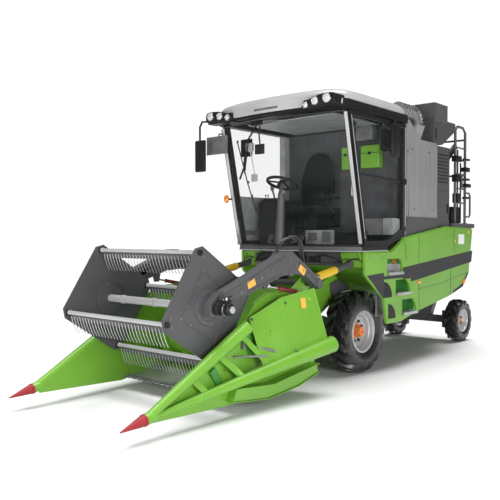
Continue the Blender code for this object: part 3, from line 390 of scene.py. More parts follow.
def curve_through(points, steps=8):
    """A smooth line of points through the given ones (Catmull-Rom)."""
    line = [Vector(p) for p in points]
    line = [line[0]] + line + [line[-1]]
    found = []
    for a, b, c, d in zip(line, line[1:], line[2:], line[3:]):
        for i in range(steps):
            t = i / steps
            found.append(0.5 * (
                2 * b + (c - a) * t + (2 * a - 5 * b + 4 * c - d) * t * t + (3 * b - a - 3 * c + d) * t ** 3
            ))
    return found + [line[-1]]


def span(side, low, high):
    return tuple(sorted((side * low, side * high)))


def proud(x, side, depth=None):
    """From a panel's face at x to a little outside it."""
    return tuple(sorted((x, x + side * (PROUD if depth is None else depth))))


SIDES = ((1, "left"), (-1, "right"))


# ------------------------------------------------------------------------------------ CAD pieces kept


def smoothing():
    """Geometry nodes that join the frame's loose corners and shade everything but sharp edges smooth."""
    tree = bpy.data.node_groups.new("smoothing", "GeometryNodeTree")
    tree.interface.new_socket("Geometry", in_out="INPUT", socket_type="NodeSocketGeometry")
    tree.interface.new_socket("Geometry", in_out="OUTPUT", socket_type="NodeSocketGeometry")
    add = tree.nodes.new
    start, end = add("NodeGroupInput"), add("NodeGroupOutput")
    merge = add("GeometryNodeMergeByDistance")
    merge.inputs["Distance"].default_value = 1e-5
    forget = add("GeometryNodeRemoveAttribute")
    forget.inputs["Name"].default_value = "custom_normal"
    smooth = add("GeometryNodeSetShadeSmooth")
    sharp = add("GeometryNodeSetShadeSmooth")
    sharp.domain = "EDGE"
    sharp.inputs["Shade Smooth"].default_value = False
    angle = add("GeometryNodeInputMeshEdgeAngle")
    over = add("FunctionNodeCompare")
    over.data_type = "FLOAT"
    over.operation = "GREATER_THAN"
    over.inputs[1].default_value = math.radians(32)
    for a, b in (
        (start.outputs[0], merge.inputs["Geometry"]), (merge.outputs[0], forget.inputs["Geometry"]),
        (forget.outputs[0], smooth.inputs["Geometry"]), (smooth.outputs[0], sharp.inputs["Geometry"]),
        (angle.outputs["Unsigned Angle"], over.inputs[0]), (over.outputs[0], sharp.inputs["Selection"]),
        (sharp.outputs[0], end.inputs[0]),
    ):
        tree.links.new(a, b)
    return tree


SMOOTHING = smoothing()


def keep(name, finish, edge=0.003):
    """A CAD node shown as it is, with a finish, smooth shading and slightly rounded edges."""
    node = NODES[name]
    node.data.materials.clear()
    node.data.materials.append(finish)
    node.modifiers.new("smooth", "NODES").node_group = SMOOTHING
    if edge:
        soft = node.modifiers.new("edges", "BEVEL")
        soft.width = edge
        soft.segments = 2
        soft.limit_method = "ANGLE"
        soft.angle_limit = math.radians(38)
    return node


def kept_nodes():
    finishes = {
        "green_paint": (GREEN, "thresher_housing side_panel_left side_panel_right feeder_house "
                               "header_trough divider_left divider_right auger"),
        "dark_paint": (DARK, "chassis_frame front_axle rear_axle knuckle_left knuckle_right engine "
                             "cab_floor reel_arms reel_frame lift_barrels grain_hopper sample_cabinet "
                             "rear_platform steering_column"),
        "light_paint": (LIGHT, "side_cover_left side_cover_right air_duct"),
        "black_plastic": (BLACK, "cab_frame lamp_bar mirror_left mirror_right door_frame seat_base "
                                 "steering_wheel"),
        "bright_steel": (STEEL, "entry_steps cutter_bar tine_bar_1 tine_bar_2 tine_bar_3 tine_bar_4"),
        "red_paint": (RED, "divider_tip_left divider_tip_right"),
    }
    for slot, (finish, names) in finishes.items():
        for name in names.split():
            keep(name, finish)
    for name in ("lift_rod_left", "lift_rod_right", "reel_rod_left", "reel_rod_right"):
        keep(name, CHROME, 0.001)
    for name in ("reel_barrel_left", "reel_barrel_right"):
        keep(name, DEEP_RED, 0.001)
    for name in ("windscreen", "right_window", "door_glass"):
        keep(name, GLASS, 0)


# ------------------------------------------------------------------------------------ studio


def studio():
    eye = Vector((4.719, -6.621 + AXLE_Y, 1.5906))
    yaw, pitch = math.radians(41.076), math.radians(1.237)
    look = Vector((-math.sin(yaw) * math.cos(pitch), math.cos(yaw) * math.cos(pitch), -math.sin(pitch)))
    camera = bpy.data.objects.new("camera", bpy.data.cameras.new("camera"))
    bpy.context.scene.collection.objects.link(camera)
    camera.location = eye
    camera.rotation_euler = look.to_track_quat("-Z", "Y").to_euler()
    camera.data.lens = 47.55
    camera.data.sensor_width = 36
    camera.data.clip_end = 400
    bpy.context.scene.camera = camera

    floor_mesh = bpy.data.meshes.new("floor")
    floor_mesh.from_pydata([(-90, -90, 0), (90, -90, 0), (90, 90, 0), (-90, 90, 0)], [], [(0, 1, 2, 3)])
    floor = bpy.data.objects.new("floor", floor_mesh)
    bpy.context.scene.collection.objects.link(floor)
    made, nodes, links, shader = shader_of("studio_floor", (0.80, 0.80, 0.80), 0.9)
    links.new(spread(nodes, links, noise(nodes, links, 1.2, 3), 0.7, 0.8), shader.inputs["Roughness"])
    shader.inputs["Specular IOR Level"].default_value = 0.0
    floor_mesh.materials.append(made)

    world = bpy.data.worlds.new("studio")
    bpy.context.scene.world = world
    world.use_nodes = True
    sky = world.node_tree.nodes["Background"]
    sky.inputs["Color"].default_value = (1, 1, 1, 1)
    seen = world.node_tree.nodes.new("ShaderNodeLightPath")
    level = world.node_tree.nodes.new("ShaderNodeMapRange")
    level.inputs["To Min"].default_value = 0.11
    level.inputs["To Max"].default_value = 1.05
    world.node_tree.links.new(seen.outputs["Is Camera Ray"], level.inputs["Value"])
    world.node_tree.links.new(level.outputs["Result"], sky.inputs["Strength"])
    overhead = bpy.data.lights.new("overhead", "SUN")
    overhead.energy = 4.0
    overhead.angle = math.radians(42)
    lamp = bpy.data.objects.new("overhead", overhead)
    bpy.context.scene.collection.objects.link(lamp)
    lamp.rotation_euler = (Vector((0, 0, 0)) - Vector((-0.2, 1.6, 8.0))).to_track_quat("-Z", "Y").to_euler()
    softbox("side", (8.0, -4.5, 2.0), (0, -0.4, 1.8), 3.2, 430)
    softbox("front", (1.5, -9.5, 2.2), (0, -0.4, 1.7), 3.2, 340)
    bpy.context.scene.view_settings.view_transform = "Standard"


def softbox(name, place, aim, size, power):
    light = bpy.data.lights.new(name, "AREA")
    light.shape = "SQUARE"
    light.size = size
    light.energy = power
    made = bpy.data.objects.new(name, light)
    bpy.context.scene.collection.objects.link(made)
    made.location = place
    made.rotation_euler = (Vector(aim) - Vector(place)).to_track_quat("-Z", "Y").to_euler()


# ------------------------------------------------------------------------------------ wheels


def tyre_profile(radius, half, bead, lug):
    """(offset, radius) from one bead over the crown to the other, without the lugs."""
    crown = radius - lug
    side = [
        (-0.70, bead + 0.001), (-0.76, bead + 0.012), (-0.86, bead + 0.22 * (crown - bead)),
        (-0.965, bead + 0.40 * (crown - bead)), (-0.99, bead + 0.60 * (crown - bead)),
        (-0.965, bead + 0.78 * (crown - bead)), (-0.90, bead + 0.91 * (crown - bead)), (-0.70, crown - 0.006),
        (-0.35, crown - 0.001),
    ]
    line = [(share * half, r) for share, r in side]
    whole = line + [(0, crown)] + [(-x, r) for x, r in line[::-1]]
    return whole + [whole[0]]


def reach(profile, offset):
    """The tyre's radius at an offset from its middle plane."""
    crown = [p for p in profile if p[1] > profile[3][1]]
    for (x0, r0), (x1, r1) in zip(crown, crown[1:]):
        if x0 <= offset <= x1 and x1 > x0:
            return r0 + (r1 - r0) * (offset - x0) / (x1 - x0)
    return crown[0][1]


def add_lug(shape, centre, radius, half, profile, side, start, sweep, lug):
    """One bar of the tread, from just past the middle out over the shoulder."""
    rings = []
    for i in range(8):
        t = i / 7
        offset = side * half * (-0.05 + 1.03 * t)
        base = reach(profile, max(-0.96 * half, min(0.96 * half, offset)))
        if t > 0.9:
            base -= 0.35 * lug
        top = min(base + lug * (1.0 if t < 0.93 else 0.75), radius)
        angle = start + sweep * (t ** 0.85)
        half_top = (0.30 + 0.20 * t) * sweep / 2
        half_low = half_top * 1.35
        ring = []
        for r, a in (
            (base - 0.004, angle - half_low), (top, angle - half_top), (top, angle + half_top),
            (base - 0.004, angle + half_low),
        ):
            ring.append(shape.mesh.verts.new(
                (centre[0] + offset, centre[1] + r * math.cos(a), centre[2] + r * math.sin(a))
            ))
        rings.append(ring)
    for a, b in zip(rings, rings[1:]):
        shape.bridge(a, b, True)
    shape.mesh.faces.new(rings[0])
    shape.mesh.faces.new(rings[-1])


def tyre(node, body, count, lug):
    low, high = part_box(node)
    centre = Vector(((low.x + high.x) / 2, (low.y + high.y) / 2 - AXLE_Y, (low.z + high.z) / 2))
    radius, half = centre.z - 0.0005, (high.x - low.x) / 2
    bead = radius * (0.476 if radius > 0.4 else 0.484)
    profile = tyre_profile(radius, half, bead, lug)
    shape = Shape().turned(profile, centre, 72)
    for share in (0.5, 0.62):
        ring_r = bead + share * (radius - lug - bead) * 0.9
        for side in (1, -1):
            edge = side * half * (0.955 if share > 0.6 else 0.94)
            ring = [
                (edge - 0.004, ring_r - 0.004), (edge + side * 0.004, ring_r), (edge - 0.004, ring_r + 0.004),
                (edge - 0.004, ring_r - 0.004),
            ]
            shape.turned(ring, centre, 72)
    pitch = 2 * math.pi / count
    for i in range(count):
        add_lug(shape, centre, radius, half, profile, 1, pitch * i, pitch * 0.98, lug)
        add_lug(shape, centre, radius, half, profile, -1, pitch * (i + 0.5), pitch * 0.98, lug)
    made = shape.done(f"{node}_tread", body, TYRE, "tyre_rubber", 0.0025, 38)
    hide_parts(node)
    return centre, half, bead


def rim(node, body, centre, half, bead, boss, hub_r, bolts):
    """A drop-centre rim with a pressed disc, its hub and its ring of nuts."""
    side = 1 if centre.x > 0 else -1
    wide = 0.72 * half
    lip = wide + 0.0115
    flange = bead + 0.0165
    profile = [
        (-lip, bead - 0.012), (-lip, flange), (-lip + 0.006, flange + 0.001), (-wide, bead),
        (-0.4 * wide, bead - 0.001), (-0.3 * wide, bead - 0.022), (0.25 * wide, bead - 0.022),
        (0.45 * wide, bead - 0.001), (wide, bead), (lip - 0.006, flange + 0.001), (lip, flange),
        (lip, bead - 0.006), (lip - 0.012, bead - 0.014), (0.72 * wide, bead - 0.018),
        (0.60 * wide, bead - 0.034), (0.40 * wide, bead - 0.042), (0.030, bead - 0.046), (0.036, 0.66 * bead),
        (0.030, 0.60 * bead), (0.013, 0.50 * bead), (0.011, 0.1 * bead), (0.001, 0.1 * bead),
        (0.001, 0.50 * bead), (0.016, 0.62 * bead), (0.012, bead - 0.05), (-0.2 * wide, bead - 0.03),
        (-lip, bead - 0.012),
    ]
    shape = Shape().turned([(side * x, r) for x, r in profile], centre, 72)
    made = shape.done(f"{node}_dish", body, SILVER, "rim_paint", 0.0015, 30)
    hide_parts(node)
    hub = [
        (0.011, hub_r * 1.5), (0.019, hub_r * 1.48), (0.024, hub_r * 1.05), (boss * 0.8, hub_r),
        (boss, hub_r * 0.86), (boss, hub_r * 0.35), (boss - 0.012, hub_r * 0.3), (boss - 0.012, 0.001),
    ]
    Shape().turned([(side * x, r) for x, r in hub], centre, 40).done(
        f"{node}_hub", body, ORANGE, "rim_paint", 0.001,
    )
    nuts = Shape()
    for i in range(bolts):
        a = 2 * math.pi * (i + 0.5) / bolts
        spot = (
            centre.x + side * 0.012, centre.y + hub_r * 1.95 * math.cos(a),
            centre.z + hub_r * 1.95 * math.sin(a),
        )
        nuts.bolt(spot, (side, 0, 0), 0.013 if bead > 0.2 else 0.0105, 0.026)
    valve = (centre.x + side * 0.4 * wide, centre.y, centre.z + bead - 0.05)
    nuts.bar(valve, (valve[0] + side * 0.03, valve[1], valve[2] + 0.004), 0.004)
    nuts.done(f"{node}_nuts", body, BLACK, "dark_paint", 0)


def wheels():
    for _, word in SIDES:
        for where, count, lug, boss, hub_r, bolts in (
            ("front", 16, 0.045, 0.10, 0.062, 8), ("rear", 14, 0.028, 0.05, 0.034, 5),
        ):
            body = f"{where}_wheel_{word}"
            centre, half, bead = tyre(f"{where}_tyre_{word}", body, count, lug)
            rim(f"{where}_rim_{word}", body, centre, half, bead, boss, hub_r, bolts)


# ------------------------------------------------------------------------------------ reel

REEL_R = 0.491
REEL_HALF = 0.70
BAR_ANGLES = [math.radians(102 + 90 * i) for i in range(4)]
COMB_SLANT = math.radians(18)
TINE_STEP = 0.0445
ARM_PIVOT = (-1.11, 1.10)
REEL_MOTOR = (-2.56, 0.968)


def reel_side(side, word):
    """The wide end plate's folded rims, its bearing disc and the bolts of both."""
    x = side * REEL_HALF
    out = side * 0.004
    y, z = REEL_SHAFT
    corners = []
    for middle_angle in BAR_ANGLES:
        for turn in (-5, 5):
            a = middle_angle + math.radians(turn)
            corners.append((y + 0.527 * math.cos(a), z + 0.527 * math.sin(a)))
    rims = Shape()
    for (y0, z0), (y1, z1) in zip(corners, corners[1:] + corners[:1]):
        rims.beam((x + side * 0.002, y0, z0), (x + side * 0.002, y1, z1), 0.010, 0.007, (1, 0, 0))
    rims.done(f"reel_rims_{word}", "reel", DARK, "dark_paint", 0.0015)
    panel = []
    for a in BAR_ANGLES:
        panel.append((y + 0.33 * math.cos(a), z + 0.33 * math.sin(a)))
    raised = Shape()
    for (y0, z0), (y1, z1) in zip(panel, panel[1:] + panel[:1]):
        raised.beam((x, y0, z0), (x, y1, z1), 0.006, 0.012, (1, 0, 0))
    raised.turned(
        [
            (0, 0.158), (side * 0.012, 0.155), (side * 0.014, 0.12), (side * 0.008, 0.112),
            (side * 0.008, 0.04),
        ],
        (x, y, z), 48,
    )
    raised.done(f"reel_panel_{word}", "reel", DARK, "dark_paint", 0.0015)
    bolts = Shape()
    for i in range(8):
        a = math.radians(45 * i + 12)
        bolts.bolt((x + side * 0.011, y + 0.137 * math.cos(a), z + 0.137 * math.sin(a)), (side, 0, 0), 0.009)
    for a in BAR_ANGLES:
        for away, turn in ((0.33, 0), (0.45, 4.4), (0.45, -4.4), (0.25, 20), (0.25, -20)):
            b = a + math.radians(turn)
            bolts.bolt((x + out * 0.4, y + away * math.cos(b), z + away * math.sin(b)), (side, 0, 0), 0.008)
    bolts.done(f"reel_bolts_{word}", "reel", GREY_STEEL, "bright_steel", 0)


def reel():
    inner = REEL_HALF - 0.008
    shaft = Shape().across(-inner, inner, REEL_SHAFT, 0.0362, 40)
    for x in (-0.46, 0.0, 0.46):
        shaft.across(x - 0.012, x + 0.012, REEL_SHAFT, 0.043, 40)
    shaft.done("reel_shaft_sleeve", "reel", SILVER, "bright_steel")
    for side, word in SIDES:
        reel_side(side, word)
    for number in range(4):
        tine_bar(number)


def tine_bar(number):
    """A tube between the end plates with its ribbed comb strip and a row of sprung tines."""
    body = f"reel_bar_{number + 1}"
    a = BAR_ANGLES[number]
    y, z = REEL_SHAFT[0] + REEL_R * math.cos(a), REEL_SHAFT[1] + REEL_R * math.sin(a)
    down = Vector((0, math.sin(COMB_SLANT), -math.cos(COMB_SLANT)))
    out = Vector((0, -math.cos(COMB_SLANT), -math.sin(COMB_SLANT)))

    def at(x, along, off=0.0):
        return Vector((x, y, z)) + down * along + out * off

    tube = Shape().across(-REEL_HALF - 0.011, REEL_HALF + 0.011, (y, z), 0.018, 32)
    for x in (-0.66, 0.66):
        tube.across(x - 0.012, x + 0.012, (y, z), 0.0225, 32)
    tube = tube.done(f"tine_tube_{number + 1}", body, SILVER, "bright_steel", 0.001)
    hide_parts(f"tine_bar_{number + 1}")
    strip = Shape()
    strip.beam(at(-0.655, 0.045), at(0.655, 0.045), 0.0045, 0.062, -down)
    strip.beam(at(-0.655, 0.016, 0.006), at(0.655, 0.016, 0.006), 0.012, 0.004, -down)
    places = [-0.645 + TINE_STEP * i for i in range(30)]
    for x in places:
        strip.beam(at(x, 0.018, 0.005), at(x, 0.074, 0.004), 0.007, 0.005, out)
    strip.done(f"comb_strip_{number + 1}", body, DARK, "dark_paint", 0.001)
    tines = Shape()
    for x in places:
        tines.tube(
            [at(x, 0.035, 0.006), at(x, 0.09, 0.010), at(x, 0.15, 0.007), at(x, 0.21, -0.004)], 0.0033, 8,
        )
    tines.done(f"tines_{number + 1}", body, STEEL, "bright_steel", 0)
    clamps = Shape()
    for x in (-REEL_HALF + 0.016, REEL_HALF - 0.016):
        clamps.beam((x, y, z + 0.024), (x, y, z - 0.030), 0.020, 0.046, (0, 1, 0))
    for side in (1, -1):
        clamps.across(side * (REEL_HALF + 0.001), side * (REEL_HALF + 0.0135), (y, z), 0.027, 28)
    clamps.done(f"tine_clamps_{number + 1}", body, BLACK, "black_plastic", 0.003)


def reel_arms():
    for side, word in SIDES:
        outer = side * 0.852
        arm = Shape()
        arm.beam((outer, -2.47, 1.085), (outer, -1.66, 1.395), 0.012, 0.020, (1, 0, 0))
        arm.beam((outer, -2.20, 1.085), (outer, -1.72, 1.225), 0.012, 0.016, (1, 0, 0))
        arm.beam((outer, -1.45, 1.33), (outer, -1.10, 1.11), 0.012, 0.018, (1, 0, 0))
        arm.turned([(0, 0.052), (side * 0.012, 0.050), (side * 0.012, 0.02)], (outer, *ARM_PIVOT), 32)
        arm.plate(
            [(-1.62, 1.20), (-1.62, 1.26), (-1.54, 1.265), (-1.54, 1.205)],
            *sorted((outer, outer + side * 0.006)),
        )
        arm.done(f"arm_ribs_{word}", "reel_carrier", DARK, "dark_paint", 0.002)
        bolts = Shape()
        for y, z in (
            (-2.44, 1.05), (-2.30, 1.09), (-2.02, 1.21), (-1.86, 1.27), (-1.60, 1.37), (-1.50, 1.30),
            (-1.28, 1.20), ARM_PIVOT,
        ):
            bolts.bolt((outer, y, z), (side, 0, 0), 0.010)
        for y, z in ((-1.93, 1.165), (-1.81, 1.19), (-1.38, 1.25)):
            bolts.bolt((outer, y, z), (side, 0, 0), 0.007)
        bolts.done(f"arm_bolts_{word}", "reel_carrier", GREY_STEEL, "bright_steel", 0)
        labels = Shape()
        for start, end, high in (
            ((-2.215, 1.150), (-2.115, 1.185), 0.075), ((-1.45, 1.285), (-1.36, 1.225), 0.070),
        ):
            labels.beam((outer + side * PROUD / 2, *start), (outer + side * PROUD / 2, *end), PROUD, high)
        labels.done(f"arm_labels_{word}", "reel_carrier", LABEL, None, 0)
    motor = Shape()
    y, z = REEL_MOTOR
    motor.turned(
        [
            (0.800, 0.058), (0.842, 0.058), (0.846, 0.048), (0.905, 0.048), (0.909, 0.053), (0.965, 0.053),
            (0.972, 0.045), (0.985, 0.020),
        ],
        (0, y, z), 36,
    )
    motor.box((0.86, 0.94), (y - 0.03, y + 0.03), (z + 0.03, z + 0.078))
    motor.done("reel_motor", "reel_carrier", BLACK, "black_plastic", 0.002)
    ring = Shape().turned(
        [(0.909, 0.0545), (0.921, 0.0545), (0.921, 0.047), (0.909, 0.047), (0.909, 0.0545)], (0, y, z), 36,
    )
    ring.turned([(0.972, 0.030), (0.990, 0.030), (0.990, 0.012)], (0, y, z), 24)
    for spot in (-0.015, 0.018):
        ring.bar((0.90 + spot, y, z + 0.076), (0.90 + spot, y, z + 0.098), 0.011, sides=6)
    ring.done("reel_motor_fittings", "reel_carrier", STEEL, "bright_steel", 0.001)
    hoses = Shape()
    for shift in (0.0, 0.028):
        hoses.tube(curve_through([
            (0.90 + shift / 4, y - 0.015 + shift, z + 0.09), (0.895, y + 0.02 + shift, z + 0.115),
            (0.86, y + 0.10, z + 0.09 - shift), (0.80, y + 0.22, z + 0.12 - shift),
            (0.74 - shift / 4, -2.15, 1.17), (0.735 - shift / 4, -1.90, 1.27),
            (0.74 - shift / 4, -1.70, 1.42), (0.76 - shift, -1.60, 1.53),
            (0.80 - shift, -1.48, 1.585 - shift / 2), (0.82 - shift, -1.38, 1.52),
            (0.80 - shift, -1.32, 1.38), (0.74 - shift / 4, -1.22, 1.22),
        ]), 0.0115, 12)
    hoses.done("reel_hoses", "reel_carrier", HOSE, "black_plastic", 0)


# ------------------------------------------------------------------------------------ head

LIFT_X, LIFT_BASE, LIFT_EYE = 0.72, (-0.355, 1.27), (-1.00, 1.15)
RAM_X, RAM_BASE, RAM_EYE = 0.80, (-1.46, 1.045), (-1.87, 1.12)


def head():
    sheet = Shape()
    outline = [
        (-2.235, 0.1305), (-2.15, 0.1368), (-1.90, 0.1940), (-1.90, 0.1965), (-2.15, 0.1395),
        (-2.235, 0.1335),
    ]
    sheet.plate(outline, -0.745, 0.745)
    sheet.done("trough_lip", "header", STEEL, "bright_steel", 0)
    knife()
    fingers()
    for side, word in SIDES:
        divider(side, word)
        end_plate_details(side, word)
        cylinder_details(side, word)


def knife():
    guards = Shape()
    for i in range(20):
        x = -0.722 + 0.076 * i
        guards.plate(
            [
                (x - 0.020, -2.20), (x - 0.022, -2.26), (x - 0.007, -2.33), (x, -2.365), (x + 0.007, -2.33),
                (x + 0.022, -2.26), (x + 0.020, -2.20),
            ],
            0.131, 0.146, "Z",
        )
        guards.bolt((x, -2.215, 0.146), (0, 0, 1), 0.007)
    guards.done("knife_guards", "header", GREY_STEEL, "bright_steel", 0.002)
    blades = Shape()
    for i in range(19):
        x = -0.684 + 0.076 * i
        blades.plate(
            [(x - 0.036, -2.235), (x - 0.008, -2.315), (x + 0.008, -2.315), (x + 0.036, -2.235)], 0.1475,
            0.1505, "Z",
        )
    blades.box((-0.735, 0.735), (-2.245, -2.222), (0.1475, 0.153))
    blades.done("knife_blades", "header", STEEL, "bright_steel", 0)


def fingers():
    rods = Shape()
    y, z = AUGER
    for i in range(8):
        x = -0.14 + 0.04 * i
        a = math.radians(47 * i + 150)
        start = (x, y + 0.118 * math.cos(a), z + 0.118 * math.sin(a))
        rods.bar(start, (x, y + 0.235 * math.cos(a), z + 0.235 * math.sin(a)), 0.007, sides=12)
        rods.bar(start, (x, y + 0.142 * math.cos(a), z + 0.142 * math.sin(a)), 0.016, sides=16)
    rods.done("auger_fingers", "feed_auger", STEEL, "bright_steel", 0.001)
    core = Shape().across(-0.741, 0.741, AUGER, 0.1315, 48)
    core.done("auger_tube", "feed_auger", GREEN, "green_paint", 0)


def divider(side, word):
    """Smooth tubes over the facets, pressed rails, cross braces and the folded rear sheet's seams."""

    def at(x, y, z):
        return (side * x, y, z)

    tubes = Shape()
    tubes.bar(at(0.80, -3.358, 0.1752), at(0.80, -3.262, 0.1942), 0.0468, sides=40)
    tubes.bar(at(0.80, -3.30, 0.20), at(0.83, -2.20, 0.775), 0.0366, 0.0628, 40)
    tubes.bar(at(0.80, -3.29, 0.18), at(1.00, -1.10, 0.505), 0.0226, 0.0828, 40)
    tubes.done(f"divider_tubes_{word}", "header", GREEN, "green_paint", 0.001)
    nose = Shape().bar(at(0.80, -3.588, 0.1304), at(0.80, -3.362, 0.1747), 0.0052, 0.0470, 40)
    nose.bar(at(0.80, -3.372, 0.1727), at(0.80, -3.352, 0.1767), 0.0485, sides=40)
    nose = nose.done(f"divider_nose_{word}", "header", RED, "red_paint", 0.001)
    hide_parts(f"divider_tip_{word}")
    braces = Shape()
    for a, b in (
        (at(0.815, -2.85, 0.40), at(0.86, -2.72, 0.265)), (at(0.82, -2.55, 0.56), at(0.885, -2.30, 0.34)),
        (at(0.83, -2.26, 0.70), at(0.915, -1.98, 0.40)),
    ):
        braces.beam(a, b, 0.055, 0.005, (1, 0, 0))
    braces.plate(
        [(-2.62, 0.44), (-2.30, 0.60), (-2.06, 0.86), (-2.02, 0.50), (-2.30, 0.32), (-2.62, 0.27)],
        *span(side, 0.781, 0.785),
    )
    braces.done(f"divider_braces_{word}", "header", GREEN, "green_paint", 0.0015)
    bolts = Shape()
    for y, z in ((-2.10, 0.80), (-1.90, 0.88), (-1.60, 0.93), (-1.32, 0.93), (-2.45, 0.42), (-2.25, 0.36)):
        bolts.bolt(at(0.7815, y, z), (side, 0, 0), 0.010)
    for y, z in ((-1.70, 0.955), (-1.30, 1.005), (-1.64, 0.50), (-1.24, 0.555)):
        x = 0.864 + 0.105 * (1.02 - z) / 0.55
        bolts.bolt(at(x, y, z), (side, 0, 0.25), 0.009)
    bolts.bolt(at(0.845, -2.15, 0.838), (side, 0, 0.6), 0.010)
    bolts.done(f"divider_bolts_{word}", "header", GREY_STEEL, "bright_steel", 0)
    seams = Shape()
    edge = [at(0.815, -2.15, 0.843), at(0.860, -1.75, 1.003), at(0.880, -1.25, 1.063)]
    foot = [at(0.906, -2.05, 0.40), at(0.941, -1.70, 0.42), at(0.986, -1.15, 0.52)]
    seams.tube(edge, 0.0075, 12).tube(foot, 0.0075, 12)
    seams.tube(
        [edge[1], foot[1]], 0.0065, 10,
    ).tube([edge[0], foot[0]], 0.0065, 10).tube([edge[2], foot[2]], 0.0065, 10)
    seams.done(f"divider_folds_{word}", "header", GREEN, "green_paint", 0)
    linkage = Shape()
    linkage.bar(at(0.80, -2.20, 0.62), at(0.925, -1.92, 0.53), 0.012)
    linkage.bar(at(0.80, -2.34, 0.52), at(0.925, -2.02, 0.50), 0.009)
    linkage.box(span(side, 0.785, 0.83), (-2.24, -2.16), (0.58, 0.66))
    linkage.done(f"divider_linkage_{word}", "header", GREY_STEEL, "bright_steel", 0.002)
    post = Shape()
    # painted shade: the posts take the darker shade green for the shadow between the braces and the sheet
    post.beam(at(0.80, -2.19, 0.80), at(0.80, -2.12, 0.52), 0.035, 0.045, (0, 1, 0))
    post.beam(at(0.80, -2.62, 0.45), at(0.80, -2.52, 0.30), 0.028, 0.07, (0, 1, 0))
    post.done(f"divider_posts_{word}", "header", SHADE_GREEN, "green_paint", 0.003)
    divider_skid(side, word)
    labels = Shape()
    labels.beam(at(0.8842, -1.44, 0.985), at(0.9000, -1.44, 0.885), 0.080, 0.0016, (side, 0, 0.16))
    labels.beam(at(0.8800, -1.31, 1.020), at(0.8905, -1.31, 0.955), 0.050, 0.0016, (side, 0, 0.16))
    labels.done(f"divider_labels_{word}", "header", LABEL, None, 0)


def divider_skid(side, word):
    """The two bent sheets that slide along the ground under the divider."""
    skid = Shape()
    skid.plate(
        [(-2.38, 0.262), (-1.90, 0.222), (-1.18, 0.312), (-1.18, 0.302), (-1.90, 0.212), (-2.38, 0.252)],
        *span(side, 0.775, 0.905),
    )
    skid.plate(
        [
            (-2.42, 0.148), (-1.95, 0.096), (-1.50, 0.136), (-1.16, 0.216), (-1.16, 0.208), (-1.50, 0.128),
            (-1.95, 0.088), (-2.42, 0.140),
        ],
        *span(side, 0.775, 0.885),
    )
    skid.done(f"divider_skid_{word}", "header", GREEN, "green_paint", 0.0015)


def end_plate_details(side, word):
    bearing = Shape()
    y, z = AUGER
    outer = side * 0.7625
    bearing.turned(
        [
            (0, 0.075), (side * 0.010, 0.072), (side * 0.012, 0.05), (side * 0.017, 0.048),
            (side * 0.017, 0.01),
        ],
        (outer, y, z), 36,
    )
    bearing.done(f"auger_bearing_{word}", "header", BLACK, "black_plastic", 0.001)
    top = Shape()
    top.box(span(side, 0.40, 0.752), (-1.44, -1.335), (1.0475, 1.051))
    top.plate(
        [(-2.02, 0.965), (-1.85, 1.045), (-1.34, 1.055), (-1.34, 1.063), (-1.85, 1.053), (-2.026, 0.973)],
        *span(side, 0.738, 0.7605),
    )
    top.done(f"end_plate_rim_{word}", "header", GREEN, "green_paint", 0.0015)


def cylinder_details(side, word):
    """Smooth sleeves on both rams, the yellow stop on the lift rod and the pins' washers."""
    base, eye = Vector((side * LIFT_X, *LIFT_BASE)), Vector((side * LIFT_X, *LIFT_EYE))
    along = (eye - base).normalized()
    length = (eye - base).length
    barrel = Shape().bar(base, base + along * length * 0.70, 0.0356, sides=36)
    barrel.bar(base + along * length * 0.665, base + along * length * 0.705, 0.0385, sides=36)
    barrel.done(f"lift_sleeve_{word}", "lift_cylinder_barrels", DARK, "dark_paint", 0.001)
    stop = Shape()
    start, end = base + along * length * 0.44, base + along * length * 0.955
    turn = along.to_track_quat("Y", "Z").to_matrix()
    for angle in range(-140, 141, 20):
        a = math.radians(angle)
        sideways, up = Vector((1, 0, 0)), turn @ Vector((0, 0, 1))
        off = (sideways * math.sin(a) + up * math.cos(a)) * 0.0425
        stop.beam(start + off, end + off, 0.0165, 0.004, off.normalized())
    stop.done(f"transport_stop_{word}", "lift_cylinder_rods", YELLOW, None, 0.001)
    pins = Shape()
    for x in (0.683, 0.757):
        pins.across(side * x, side * (x + 0.008), LIFT_EYE, 0.024, 24)
    pins.done(f"lift_pin_{word}", "lift_cylinder_rods", STEEL, "bright_steel", 0.001)
    base, eye = Vector((side * RAM_X, *RAM_BASE)), Vector((side * RAM_X, *RAM_EYE))
    along = (eye - base).normalized()
    length = (eye - base).length
    ram = Shape().bar(base, base + along * length * 0.62, 0.0196, sides=32)
    ram.bar(base + along * length * 0.59, base + along * length * 0.625, 0.022, sides=32)
    ram.done(f"reel_sleeve_{word}", "reel_cylinder_barrels", DEEP_RED, "red_paint", 0.001)


# ------------------------------------------------------------------------------------ cab

CAB_LOW, CAB_HIGH = 1.47, 2.93
SEAT_X = -0.21
SEAT_SHRINK = 0.99  # of the CAD's block, before the cloth is blown up
SEAT_VOXEL, QUICK_VOXEL = 0.006, 0.012
MOST_PUFF = 0.024  # how far the cloth may move
PUFF_FRAMES = 20


def front_edge(z):
    """Y of the front pillar's front face at a height."""
    return -0.36 - 0.32 * (z - CAB_LOW) / (CAB_HIGH - CAB_LOW)


